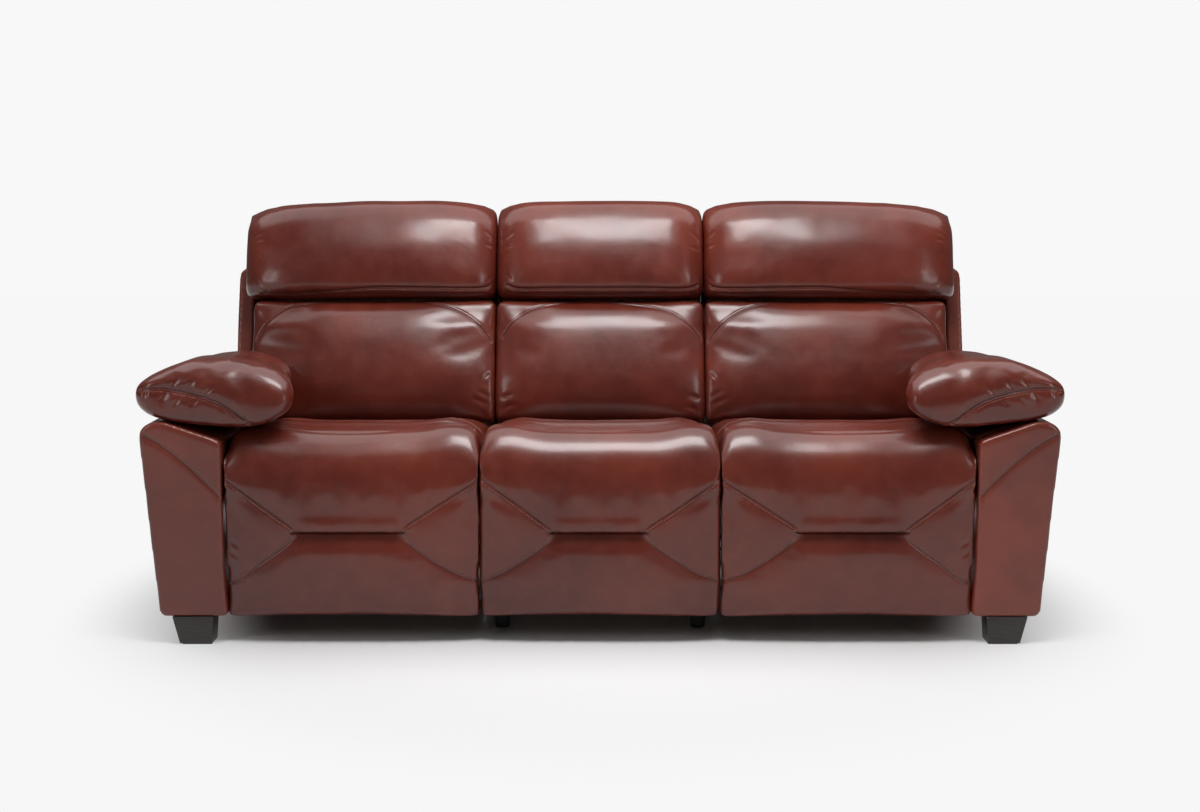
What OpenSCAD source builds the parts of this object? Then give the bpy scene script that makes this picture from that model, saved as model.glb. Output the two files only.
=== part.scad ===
// Three-seater sofa whose two end seats recline and fold out a footrest.
// Millimetres, +Z up, front towards -Y, and left is the side of -X.
// The origin lies on the floor under the middle of the sofa's box.

/* [Seats] */
// Width of the fixed middle seat
centre_w = 551; // [500:1:620]
// Width of each reclining end seat
end_w = 581; // [540:1:640]
// Slot between neighbouring seats
seat_slot = 5.5; // [4:0.5:8]
// From the front of the sofa to the face of the back cushions
seat_depth = 560; // [540:1:600]
// Height of the front roll of the seats
roll_top = 455; // [440:1:475]
// Radius of the front roll, which turns about the footrest hinge
roll_r = 42.5; // [38:0.5:45]
// Rise of the middle of a seat over its front roll
seat_crown = 8; // [2:1:16]
// Height of the underside of the upholstery
skirt_z = 65; // [55:1:80]

/* [Front panels] */
// Thickness of the padding of a front panel
pad_t = 54; // [44:1:56]
// Depth of the sewn tuck in the middle of a front panel
tuck_depth = 20; // [8:1:28]
// Width of that tuck
tuck_w = 205; // [160:1:240]
// Height of that tuck over the floor
tuck_z = 262; // [240:1:290]
// Thickness of the board behind the padding
board_t = 18; // [12:1:18]

/* [Backs] */
// Lean of the backs from upright, in degrees
lean = 17; // [14:0.5:19]
// Height of a lower back cushion, measured along the back
lumbar_h = 345; // [325:1:355]
// Height of a head cushion, measured along the back
head_h = 273; // [260:1:285]
// Thickness of the back cushions
cushion_t = 131; // [120:1:140]
// Whole thickness of a back
back_t = 235; // [220:1:250]
// Thickness of the wood of the back frames
back_wood = 26; // [20:1:30]
// Thickness of the padded cover of the back shells
shell_wall = 14; // [10:1:18]
// Thickness of the padded wing beside an end back
wing_t = 44; // [36:1:50]
// How far a wing stands out past its seat's edge
wing_reach = 122; // [114:1:126]

/* [Arms] */
// Width of an arm at its top
arm_w = 189; // [175:1:200]
// How much an arm narrows towards its foot
arm_taper = 38; // [20:1:46]
// Height of an arm at its outer edge
arm_top = 521; // [515:1:530]
// Fall of the arm's top towards the seat
arm_fall = 46; // [36:1:50]
// Length of an arm from front to rear
arm_len = 800; // [780:1:815]
// Thickness of the padded cover of an arm
arm_wall = 14; // [10:1:18]
// Slot between an arm and its seat, which holds the release handle
arm_slot = 6; // [5:0.5:9]
// Width of the pillow on an arm
pillow_w = 364; // [340:1:368]
// Thickness of the pillow on an arm
pillow_h = 158; // [140:1:170]

/* [Frame and steel] */
// Thickness of the hardwood of the seat and arm frames
wood = 22; // [18:1:24]
// Thickness of the side plates and brackets
plate_t = 4; // [3:0.5:4]
// Side gap between neighbouring plates and links
plate_gap = 1; // [0.8:0.1:1]
// Diameter of the pivot pins
pin_d = 10; // [8:0.5:11]
// Radial clearance of the pivot pins
pin_fit = 0.08; // [0.05:0.01:0.1]
// Radial clearance of the open pivot on the footrest bracket
open_fit = 0.4; // [0.3:0.05:0.6]
// Height of the base rails
rail_h = 28; // [24:1:29]
// Diameter of the torque tube between the drive links
tube_d = 22; // [18:1:24]

/* [Feet] */
// Width of a front foot at its top
foot_w = 95; // [80:1:100]
// How much a foot narrows towards the floor on its outer side
foot_taper = 16; // [8:1:20]
// Depth of a foot from front to rear
foot_d = 60; // [50:1:70]

/* [Hidden] */

LEATHER = "#7d3e30";
WOOD = "#c9a06c";
PLY = "#d8b98a";
STEEL = "#3c4046";
ZINC = "#a9adb2";
FOOT = "#35292a";
WEB = "#8a8578";

// Rest gap of soft pieces, of hard faces that only rest on each other, and of riveted pieces
soft_gap = 0.6;
seat_gap = 0.3;
rivet_seat = 0.02;

// How far the cushions of an end back reach over its wing, and the wing's step
lumbar_reach = wing_reach / 2;
head_reach = wing_reach - 35;
wing_step = wing_reach / 2;

// Plan of the bays: half widths, and the middle of an end bay
centre_hw = centre_w / 2;
end_hw = end_w / 2;
end_x = centre_hw + seat_slot + end_hw;
seat_edge = end_x + end_hw;
arm_in = seat_edge + arm_slot;
arm_out = arm_in + arm_w;

// Depth: the shell's top rear edge is the rear of the sofa
shell_top = lumbar_h + head_h - 36;
sofa_depth = seat_depth + back_t * cos(lean) + shell_top * sin(lean);
front_y = -sofa_depth / 2;
back_z = roll_top - 17;

// Seat build-up
spring_t = 3.5;
cushion_z = 389;
frame_top = cushion_z - spring_t - 2 * seat_gap;
frame_h = 55;
frame_z = frame_top - frame_h;
flange_z = frame_z - plate_t;
rail_top = skirt_z + 1 + rail_h;
front_rail_s = 96;
rear_rail_s = seat_depth + 30;
base_front_s = 150;
base_rear_s = 600;
rail_w = 30;

// Footrest hinge P, fixed link pivot G, bracket pivot Q and the arm's elbow E.
// P, G, E and Q are a parallelogram, so the links follow the footrest exactly.
P = [roll_r, roll_top - roll_r];
G = [215, 305];
Q = [105, P[1] - 177.5];
E = Q + G - P;
R = [seat_depth + 83, 279];
pad_rear = 8 + pad_t;
board_rear = pad_rear + board_t;
board_top = P[1] - 40;
eye_r = 13;

// Planes of the steel, measured from the bay's middle towards its side
plate_x = end_hw - 3;
link_x = plate_x - plate_t - plate_gap;
bar_x = link_x - plate_t - plate_gap;
roll_hw = link_x - plate_t - 3;
board_hw = roll_hw - 1;
wood_hw = link_x - plate_t - seat_gap;
centre_plate_x = centre_hw - 3;
centre_wood_hw = centre_plate_x - plate_t - seat_gap;

// Back layout in the back's own frame: y is the thickness, z runs up the back
web_t = 2.5;
frame_y = cushion_t + web_t + seat_gap;
post_w = 42;
back_low = -128;
shell_low = -190;
wing_low = 122;
wing_top = 466;
R_back = [
    (R[0] - seat_depth) * cos(lean) - (R[1] - back_z) * sin(lean),
    (R[0] - seat_depth) * sin(lean) + (R[1] - back_z) * cos(lean)
];

function mix(a, b, t) = a + (b - a) * t;
function clamp01(t) = min(1, max(0, t));
function ease(t) = let (c = clamp01(t)) c * c * (3 - 2 * c);
function bump(t) = exp(-t * t);

// Outline with rounded corners; each corner is [x, y, radius]
function corner_points(a, b, c, steps) =
    let (
        u = (a - b) / norm(a - b),
        v = (c - b) / norm(c - b),
        half = acos(max(-1, min(1, u * v))) / 2
    )
    [for (i = [0:steps]) let (
        t = i / steps,
        w = (u + v) / norm(u + v),
        side = cross([u[0], u[1], 0], [v[0], v[1], 0])[2] > 0 ? -1 : 1,
        turn = mix(-(90 - half), 90 - half, t) * side,
        back = -w
    ) [back[0] * cos(turn) - back[1] * sin(turn), back[0] * sin(turn) + back[1] * cos(turn), half]];
function rounded(corners, steps = 5) = [
    for (i = [0:len(corners) - 1])
        let (
            n = len(corners),
            prev = corners[(i + n - 1) % n],
            here = corners[i],
            next = corners[(i + 1) % n],
            a = [prev[0], prev[1]],
            b = [here[0], here[1]],
            c = [next[0], next[1]],
            r = here[2]
        )
        if (r < 0.5) b
        else
            let (
                arc = corner_points(a, b, c, steps),
                half = arc[0][2],
                w = ((a - b) / norm(a - b) + (c - b) / norm(c - b)),
                centre = b + w / norm(w) * r / sin(half)
            )
            each [for (p = arc) centre + r * [p[0], p[1]]]
];

// Closed solid through equal rings of points. An end is a fan about its middle, or a
// ladder between the two flanks of its ring where the ring isn't flat.
module loft(rings, ladder = false) {
    n = len(rings[0]);
    m = len(rings);
    end = (m - 1) * n;
    middle = function(ring) [for (k = [0:2]) [for (p = ring) p[k]] * [for (p = ring) 1 / n]];
    points = concat([for (ring = rings) each ring], ladder ? [] : [middle(rings[0]), middle(rings[m - 1])]);
    sides = [
        for (i = [0:m - 2], j = [0:n - 1])
            let (a = i * n + j, b = i * n + (j + 1) % n)
            each [[a, b, a + n], [b, b + n, a + n]]
    ];
    fans = [
        for (j = [0:n - 1])
            let (k = (j + 1) % n)
            each [[k, j, n * m], [end + j, end + k, n * m + 1]]
    ];
    rungs = [
        for (j = [0:n / 2 - 2])
            let (a = [j, j + 1, n - 2 - j], b = [j, n - 2 - j, n - 1 - j])
            each [[a[1], a[0], a[2]], [b[1], b[0], b[2]], [for (k = a) end + k], [for (k = b) end + k]]
    ];
    polyhedron(points, concat(sides, ladder ? rungs : fans));
}

// A module's children in the place of one bay or of one back
module at_bay(side) {
    translate([side * end_x, 0, 0]) mirror([side < 0 ? 1 : 0, 0, 0]) children();
}
module at_back() {
    translate([0, front_y + seat_depth, back_z]) rotate([-lean, 0, 0]) children();
}
// A box from its low corner to its high corner; y is measured from the sofa's front
module block(low, high) {
    translate([low[0], front_y + low[1], low[2]]) cube(high - low);
}
// A profile in the side plane, given as [from the front, height], from x0 to x1
module side_sheet(x0, x1) {
    translate([x0, front_y, 0]) rotate([90, 0, 90]) linear_extrude(x1 - x0) children();
}
// A round bar along x, about a side-plane point
module cross_bar(x0, x1, at, d) {
    side_sheet(x0, x1) translate(at) circle(d = d, $fn = 40);
}
// A flat bar with round eyes at both of its ends
module bar_outline(a, b, r) {
    d = (b - a) / norm(b - a);
    n = [-d[1], d[0]];
    union() {
        translate(a) circle(r = r, $fn = 40);
        translate(b) circle(r = r, $fn = 40);
        polygon([a + n * r * 0.8, a - n * r * 0.8, b - n * r * 0.8, b + n * r * 0.8]);
    }
}
module hole(at, fit) {
    translate(at) circle(d = pin_d + 2 * fit, $fn = 40);
}

// Base: two steel rails from arm to arm
module base_rail(s) {
    color(STEEL) block([-arm_in + 6.5, s, skirt_z + 1], [arm_in - 6.5, s + rail_w, rail_top]);
}
module centre_legs() {
    color(FOOT)
        for (side = [-1, 1], s = [base_front_s, base_rear_s])
            translate([side * (centre_hw - 40), front_y + s + rail_w / 2, 0])
                cylinder(d1 = 34, d2 = 44, h = skirt_z + 1, $fn = 40);
}

// Feet: black blocks, straight on the seat's side and tapered on the outer side
module foot(side, s) {
    inner = arm_in + 27;
    color(FOOT) mirror([side < 0 ? 1 : 0, 0, 0])
        translate([0, front_y + s + foot_d, 0]) rotate([90, 0, 0]) linear_extrude(foot_d)
            polygon([
                [inner, skirt_z], [inner + foot_w, skirt_z], [inner + foot_w - foot_taper, 2],
                [inner + foot_w - foot_taper - 6, 2], [inner + foot_w - foot_taper - 6, 0],
                [inner + 5, 0]
            ]);
}

// Arms: an upholstered shell over a hardwood frame; inset gives the layers
function arm_outline(inset) =
    let (
        low = inset > 0 ? skirt_z - 40 : skirt_z,
        waist = skirt_z + 115,
        out_low = arm_out - arm_taper,
        slope = arm_taper / (arm_top - skirt_z),
        out_at = function(z) out_low + slope * (z - skirt_z) - inset
    )
    rounded([
        [arm_in - 6 + inset, low, inset > 0 ? 0 : 8],
        [out_at(low), low, inset > 0 ? 0 : 14],
        [out_at(arm_top - 10 - inset), arm_top - 10 - inset, max(6, 34 - inset)],
        [mix(arm_in, arm_out, 0.72), arm_top + 1 - inset, 50],
        [arm_in + inset, arm_top - arm_fall - inset, max(5, 16 - inset)],
        [arm_in + inset, waist, 0]
    ], 6);
module arm_solid(inset, s0, s1) {
    difference() {
        translate([0, front_y + s1, 0]) rotate([90, 0, 0]) linear_extrude(s1 - s0)
            polygon(arm_outline(inset));
        side_sheet(arm_in - 60, arm_out + 60) polygon([
            [arm_len - 160, arm_top - 21 - inset], [arm_len + 1, arm_top - 101 - inset],
            [arm_len + 1, arm_top + 90], [arm_len - 160, arm_top + 90]
        ]);
    }
}
module arm_cover(side) {
    color(LEATHER) mirror([side < 0 ? 1 : 0, 0, 0]) difference() {
        arm_solid(0, 0, arm_len);
        arm_solid(arm_wall, arm_wall, arm_len - arm_wall);
        handle_bore();
    }
}
module handle_bore() {
    cross_bar(arm_in - 1, arm_in + arm_wall + wood + 1, handle_at, pin_d + 2 * pin_fit);
}
// Arm frame: shaped end panels, an upright and a leaning side board, and two foot blocks
module arm_panel(s0, s1) {
    difference() {
        arm_solid(arm_wall, s0, s1);
        block([arm_in - 60, s0 - 1, skirt_z - 60], [arm_out + 60, s1 + 1, skirt_z]);
    }
}
module arm_frame(side) {
    hollow = arm_wall + wood;
    rear = arm_len - hollow;
    low = skirt_z + 30;
    high = arm_top - arm_fall - 55;
    lean_at = function(z) arm_out - arm_taper + arm_taper * (z - skirt_z) / (arm_top - skirt_z) - arm_wall;
    color(WOOD) mirror([side < 0 ? 1 : 0, 0, 0]) {
        arm_panel(arm_wall, hollow);
        arm_panel(rear, arm_len - arm_wall);
        difference() {
            block([arm_in + arm_wall, hollow, low], [arm_in + hollow, rear, high]);
            handle_bore();
        }
        translate([0, front_y + rear, 0]) rotate([90, 0, 0]) linear_extrude(rear - hollow)
            polygon([
                [lean_at(low) - wood, low], [lean_at(low), low], [lean_at(high), high],
                [lean_at(high) - wood, high]
            ]);
        for (s = [hollow, rear - foot_d])
            block([arm_in + arm_wall, s, skirt_z], [lean_at(skirt_z) - 2, s + foot_d, low]);
    }
}

// Arm pillow: a fat roll that rests on the arm and hangs over the seat
pillow_front = 3;
pillow_len = seat_depth + 12;
pillow_x = arm_out + 19 - pillow_w / 2;
// Towards the rear the roll draws in from the seat and sinks onto the arm
pillow_draw = 80;
function pillow_narrow(t) = pillow_draw * ease((t - 0.06) / 0.7);
pillow_rings = [
    [0, 0.80, 0.74], [0.008, 0.88, 0.84], [0.03, 0.96, 0.94], [0.09, 1, 1], [0.3, 0.985, 0.985],
    [0.6, 0.985, 0.985], [0.88, 1, 1], [0.96, 0.93, 0.92], [0.99, 0.82, 0.8], [1, 0.68, 0.66]
];
function arm_surface(x) = mix(arm_top - arm_fall, arm_top + 1, clamp01((x - arm_in) / (arm_w * 0.72)));
function pillow_ring(t, kx, kz) = [
    for (i = [0:17])
        let (
            turn = i * 20,
            c = cos(turn),
            q = sin(turn),
            narrow = pillow_narrow(t),
            tall = pillow_h - narrow * 0.35,
            x = pillow_x + narrow / 2 + (kx * pillow_w - narrow) / 2 * sign(c) * pow(abs(c), 0.8),
            sag = 12 * bump((x - pillow_x + 92) / 60) * (q < 0 ? 1 : 0),
            mid = arm_top + pillow_h * 0.37 - narrow * 0.22,
            z = mid + kz * tall * (q > 0 ? 0.54 : 0.46) * sign(q) * pow(abs(q), 0.8) - sag
        )
        [x, front_y + mix(pillow_front, pillow_len, t), max(z, x > arm_in - 10 ? arm_surface(x) : 0)]
];
module arm_pillow(side) {
    color(LEATHER) mirror([side < 0 ? 1 : 0, 0, 0]) difference() {
        loft([for (r = pillow_rings) pillow_ring(r[0], r[1], r[2])]);
        arm_solid(-soft_gap, -soft_gap, arm_len);
    }
}

// Side plates of a reclining bay, with the goose-neck that reaches the footrest hinge
module plate_outline() {
    polygon(rounded([
        [P[0] + 54, frame_z + 8, 0], [front_rail_s + 12, flange_z, 0], [150, 235, 20],
        [base_front_s - 4, rail_top, 0], [base_front_s + rail_w + 4, rail_top, 0], [225, 265, 30],
        [400, 275, 40], [base_rear_s - 10, 170, 30], [base_rear_s - 6, rail_top, 0],
        [base_rear_s + rail_w - 14, rail_top, 0], [R[0] - 27, R[1] - 45, 10],
        [R[0] + 20, R[1] - 20, 16], [R[0] + 20, R[1] + 30, 22],
        [rear_rail_s, frame_top, 0], [P[0] + 72, frame_top, 0]
    ]));
    bar_outline(P, [P[0] + 76, P[1] - 46], eye_r - 1);
    translate(G) circle(r = eye_r + 4, $fn = 40);
}
module side_plate() {
    side_sheet(plate_x - plate_t, plate_x) difference() {
        plate_outline();
        for (at = [P, G, R]) hole(at, rivet_seat);
    }
    // Riveted blocks that carry the seat frame
    for (s = [[front_rail_s + 2, front_rail_s + 40], [rear_rail_s - 90, rear_rail_s]])
        block([wood_hw - wood, s[0], flange_z], [plate_x - plate_t - rivet_seat, s[1], frame_z]);
    // Hinge pin of the footrest, link pin and recline pin, each riveted through the plate
    for (at = [P, G, R]) cross_bar(link_x - plate_t - 0.8, plate_x, at, pin_d);
}
module side_plates(side) {
    color(STEEL) at_bay(side) for (m = [0, 1]) mirror([m, 0, 0]) side_plate();
}
module centre_side_plates() {
    color(STEEL) for (m = [0, 1]) mirror([m, 0, 0]) {
        side_sheet(centre_plate_x - plate_t, centre_plate_x) polygon([
            [pad_rear + board_t + seat_gap, frame_top], [pad_rear + board_t + seat_gap, 120],
            [base_front_s, rail_top], [base_front_s + rail_w, rail_top], [230, 265], [400, 275],
            [base_rear_s - 10, 170], [base_rear_s, rail_top], [base_rear_s + rail_w, rail_top],
            [R[0] + 28, R[1] - 10], [R[0] + 28, R[1] + 30], [rear_rail_s, frame_top]
        ]);
        block(
            [centre_wood_hw - wood, front_rail_s, flange_z],
            [centre_plate_x - plate_t, front_rail_s + 60, frame_z]
        );
        block(
            [centre_wood_hw - wood, rear_rail_s - 90, flange_z],
            [centre_plate_x - plate_t, rear_rail_s, frame_z]
        );
    }
}

// Seat frame: four hardwood rails with glued joints
module seat_frame(hw) {
    color(WOOD) {
        for (m = [0, 1]) mirror([m, 0, 0])
            block([hw - wood, front_rail_s, frame_z], [hw, rear_rail_s, frame_top]);
        for (s = [front_rail_s, rear_rail_s - wood])
            block([-hw + wood, s, frame_z], [hw - wood, s + wood, frame_top]);
    }
}
// Sinuous springs: five flat zig-zag wires from the front rail to the rear rail
spring_pitch = 34;
spring_wire = 5;
module sinuous(x) {
    s0 = front_rail_s + 4;
    s1 = rear_rail_s - 4;
    turns = floor((s1 - s0) / spring_pitch);
    edge = function(k, off) [
        x + off + (k % 2 == 0 ? -20 : 20), front_y + mix(s0, s1, k / turns)
    ];
    translate([0, 0, frame_top + seat_gap]) linear_extrude(spring_t)
        polygon(concat(
            [for (k = [0:turns]) edge(k, -spring_wire / 2)],
            [for (k = [turns:-1:0]) edge(k, spring_wire / 2)]
        ));
}
module seat_springs(hw) {
    color(ZINC) for (k = [-2:2]) sinuous(k * (hw - wood - 50) / 2.4);
}

// Seat cushion: crowned, with a hollow front that clears the turning roll
function seat_ring(u, hw, edge) =
    let (
        crown = seat_crown * (1 - pow(abs(u), 3)),
        swell = 3 * seat_crown * (1 - pow(abs(u), 8)),
        drop = 9 * pow(abs(u), 8),
        top = function(s, z, full) [s, z + crown * ease((s - 60) / 90) + full * swell - drop]
    )
    [
        for (turn = [60, 42, 24, 8, -5])
            P + (roll_r + soft_gap + 0.5) * [cos(turn), sin(turn)],
        [P[0] + 82, cushion_z], [seat_depth + 20, cushion_z], [seat_depth + 27, back_z - 38],
        [seat_depth + 14, back_z - 20], [seat_depth - 10, back_z - 4],
        top(seat_depth - 70, roll_top - 8, 0), top(seat_depth * 0.6, roll_top + 1, 0.6),
        top(seat_depth * 0.36, roll_top + 4, 1), top(135, roll_top + 2, 0.9),
        top(88, roll_top - 1.5, 0.75)
    ];
module seat_cushion(hw) {
    steps = 6;
    color(LEATHER) loft([
        for (i = [-steps:steps])
            let (u = sin(90 * i / steps))
            [for (p = seat_ring(u, hw, 0)) [hw * u, front_y + p[0], p[1]]]
    ]);
}

// Front panel: crossed seams run from the corners of the panel to a short central tuck
seam_rise = 118;
function seam_t(x, hw) = clamp01((abs(x) - tuck_w / 2) / (hw - tuck_w / 2));
function seam_up(x, hw) = tuck_z + max(6, seam_rise * seam_t(x, hw));
function seam_down(x, hw) =
    let (t = seam_t(x, hw)) tuck_z - max(6, seam_rise * t * (0.82 + 0.18 * t));
// Depth of the seams at a row; rows follow the seams, so each seam is a line of the grid
function pad_rows(x, hw) =
    let (
        up = seam_up(x, hw),
        down = seam_down(x, hw),
        t = seam_t(x, hw),
        deep = tuck_depth * mix(1, 0.3, pow(t, 0.7)),
        high = min(P[1] - 16, up + 60),
        low = max(skirt_z + 14, down - 60)
    )
    [
        for (k = [0:2]) [mix(P[1] - 12, high, k / 3), 0],
        [mix(high, up, 0.35), deep * 0.1], [mix(high, up, 0.75), deep * 0.42], [up, deep],
        [mix(up, down, 0.2), deep * mix(0.85, 0.3, t)],
        [mix(up, down, 0.5), deep * mix(0.8, 0, ease(t * 3))],
        [mix(up, down, 0.8), deep * mix(0.85, 0.3, t)],
        [down, deep], [mix(low, down, 0.75), deep * 0.42], [mix(low, down, 0.35), deep * 0.1],
        for (k = [2:-1:0]) [mix(skirt_z + 12, low, k / 3), 0]
    ];
function pad_swell(x, z, hw) =
    let (u = abs(x) / hw, v = (z - skirt_z) / (P[1] - skirt_z))
    8 + 5 * pow(u, 10) - 8 * (1 - pow(u, 6)) * clamp01(1 - pow(abs(2 * v - 0.9), 4));
function pad_ring(u, hw, r_hw) =
    let (x = u * hw, rx = u * r_hw, neck = P[1] - 56)
    [
        for (turn = [30, 60, 90, 120, 150, 180]) [rx, P + roll_r * [cos(turn), sin(turn)]],
        for (row = pad_rows(x, hw))
            [row[0] > neck ? rx : x, [max(0, pad_swell(x, row[0], hw) + row[1]), row[0]]],
        [x, [14, skirt_z + 3]], [x, [26, skirt_z]],
        [x, [pad_rear - seat_gap, skirt_z + 2]], [x, [pad_rear - seat_gap, neck]],
        [rx, [pad_rear - seat_gap, board_top + 1]],
        [rx, P + [roll_r * 0.5, -roll_r * 0.866]], [rx, P + [roll_r * 0.966, -roll_r * 0.26]]
    ];
module front_pad(hw, r_hw) {
    steps = 10;
    color(LEATHER) loft([
        for (i = [-steps:steps])
            let (u = i / steps)
            [for (p = pad_ring(sign(u) * pow(abs(u), 0.86), hw, r_hw)) [p[0], front_y + p[1][0], p[1][1]]]
    ]);
}
module front_board(hw) {
    color(PLY) block([-hw, pad_rear, skirt_z + 18], [hw, board_rear, board_top]);
}

// Footrest bracket: a flange on the board, an eye on the hinge pin and a pin for the bar
module footrest_bracket() {
    difference() {
        side_sheet(link_x - plate_t, link_x) {
            polygon([
                [board_rear, board_top - 4], [board_rear, Q[1] - 30], [board_rear + 5, Q[1] - 30],
                [Q[0] + 8, Q[1] - 12], [Q[0] + 8, Q[1] + 12], [board_rear + 8, Q[1] + 50],
                [board_rear + 8, board_top - 30]
            ]);
            bar_outline(P, [board_rear + 1, board_top - 4], eye_r - 2);
            translate(Q) circle(r = eye_r, $fn = 40);
        }
        cross_bar(link_x - plate_t - 1, link_x + 1, P, pin_d + 2 * pin_fit);
        block([0, pad_rear - 20, skirt_z], [link_x + 1, board_rear, board_top]);
    }
    block(
        [link_x - plate_t - 24, board_rear, Q[1] + 24],
        [link_x - plate_t, board_rear + plate_t, board_top - 6]
    );
    cross_bar(bar_x - plate_t - 1, link_x - plate_t, Q, pin_d);
}
module footrest_brackets(side) {
    color(ZINC) at_bay(side) for (m = [0, 1]) mirror([m, 0, 0]) footrest_bracket();
}
// Drive links: a pair joined by the torque tube, each with a pin at its elbow
module drive_links(side) {
    middle = mix(G, E, 0.58);
    color(STEEL) at_bay(side) {
        for (m = [0, 1]) mirror([m, 0, 0]) {
            side_sheet(link_x - plate_t, link_x) difference() {
                union() {
                    bar_outline(G, E, eye_r);
                    translate(middle) circle(r = tube_d / 2 + 5, $fn = 40);
                }
                hole(G, pin_fit);
            }
            cross_bar(bar_x - plate_t - 0.8, link_x - plate_t, E, pin_d);
        }
        // The tube ends on the inner faces of the two links
        cross_bar(-link_x + plate_t, link_x - plate_t, middle, tube_d);
    }
}
// Front bars: they stay parallel to the line from the fixed pivot to the hinge
module front_links(side) {
    color(ZINC) at_bay(side) for (m = [0, 1]) mirror([m, 0, 0])
        side_sheet(bar_x - plate_t, bar_x) difference() {
            bar_outline(E, Q, eye_r);
            hole(E, pin_fit);
            hole(Q, open_fit);
        }
}

// Back frame: two posts and three cross rails
module back_frame(hw) {
    top = lumbar_h + head_h - 50;
    color(WOOD) at_back() {
        for (m = [0, 1]) mirror([m, 0, 0])
            translate([hw - post_w, frame_y, back_low]) cube([post_w, back_wood, top - back_low]);
        for (z = [back_low, lumbar_h - 22, top - 44])
            translate([-hw + post_w, frame_y, z]) cube([2 * (hw - post_w), back_wood, 44]);
    }
}
module back_webbing(hw) {
    color(WEB) at_back() for (z = [-60, 25, 110, 195, 380, 450])
        translate([-hw + 10, frame_y - web_t, z]) cube([2 * hw - 20, web_t, 52]);
}
// Back shell: a padded tray behind the frame, with a wing on the open side of an end back
function shell_outline(hw, out, inset) =
    out > 0
    ? rounded([
        [-hw + inset, shell_low + inset, 12], [hw - inset, shell_low + inset, 12],
        [hw - inset, 96 + inset, 0], [hw + out - inset, wing_low + inset, max(4, 18 - inset)],
        [hw + out - inset, wing_top - inset, max(6, 30 - inset)],
        [hw + out - wing_step - inset, wing_top + 8 - inset, 0],
        [hw + out - wing_step - inset, shell_top - inset, max(6, 34 - inset)],
        [-hw + inset, shell_top - inset, max(6, 34 - inset)]
    ], 5)
    : rounded([
        [-hw + inset, shell_low + inset, 12], [hw - inset, shell_low + inset, 12],
        [hw - inset, shell_top - inset, max(6, 34 - inset)],
        [-hw + inset, shell_top - inset, max(6, 34 - inset)]
    ], 5);
module shell_slab(hw, out, inset, y0, y1) {
    translate([0, y1, 0]) rotate([90, 0, 0]) linear_extrude(y1 - y0)
        polygon(shell_outline(hw, out, inset));
}
module back_shell(hw, out) {
    rear = back_t;
    near = frame_y + back_wood;
    color(LEATHER) at_back() {
        difference() {
            shell_slab(hw, out, 0, near, rear);
            shell_slab(hw, out, shell_wall, near - 1, rear - shell_wall);
        }
        // Cross ribs that rest on the frame's posts
        for (m = [-1, 1])
            translate([m * (hw - 36) - 10, near, 0]) cube([20, rear - shell_wall - near, 60]);
        if (out > 0)
            translate([0, near, 0]) rotate([90, 0, 0]) linear_extrude(near - cushion_t - soft_gap)
                polygon(rounded([
                    [hw + out - wing_t, wing_low + 4, 0], [hw + out, wing_low, 18],
                    [hw + out, wing_top, 30], [hw + out - wing_t, wing_top, 12]
                ]));
    }
}
// Back bracket: a plate on the post's side that turns on the recline pin
module back_bracket() {
    at_back() translate([link_x - plate_t, 0, 0]) rotate([90, 0, 90]) linear_extrude(plate_t)
        difference() {
            union() {
                polygon([
                    [frame_y, back_low], [frame_y + back_wood, back_low], [frame_y + back_wood, 60],
                    [frame_y, 60], [frame_y, 2], [R_back[0] - 10, R_back[1] + 8],
                    [R_back[0] - 4, R_back[1] - 12]
                ]);
                translate(R_back) circle(r = eye_r + 2, $fn = 40);
            }
            hole(R_back, pin_fit);
        }
}
module back_brackets(side) {
    color(ZINC) at_bay(side) for (m = [0, 1]) mirror([m, 0, 0]) back_bracket();
}

// Back cushions, lofted across the seat: each ring runs up the front and down the rear
function pillow_edge(u, power) = 1 - pow(abs(u), power);
function arch_z(u) = lumbar_h * mix(0.94, 0.78, pow(abs(u), 2.6));
function lumbar_ring(u, x_of) = [
    for (k = [0:9])
        let (
            z = mix(14, lumbar_h - 10, k / 9),
            v = 2 * k / 9 - 1,
            swell = 34 * pillow_edge(u, 4) * pillow_edge(v, 4) + 8 * bump((v + 0.35) / 0.5),
            groove = 11 * bump((z - arch_z(u)) / 14)
        )
        [x_of(u, z), 28 - swell + groove, z],
    [x_of(u, lumbar_h), 58, lumbar_h - 2],
    [x_of(u, lumbar_h), cushion_t - 22, lumbar_h - 3],
    [x_of(u, lumbar_h), cushion_t, lumbar_h - 16],
    [x_of(u, 160), cushion_t, 160],
    [x_of(u, 96), cushion_t, 96],
    [x_of(u, 20), cushion_t, 20],
    [x_of(u, 4), cushion_t - 24, 5],
    [x_of(u, 4), 52, 4]
];
module lumbar_cushion(hw, out) {
    steps = 7;
    x_of = function(u, z)
        u < 0 ? u * hw : u * (hw + out * ease((z - 100) / 55));
    color(LEATHER) at_back() loft([
        for (i = [-steps:steps])
            let (u = sin(90 * i / steps)) lumbar_ring(u, x_of)
    ], ladder = true);
}
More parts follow.
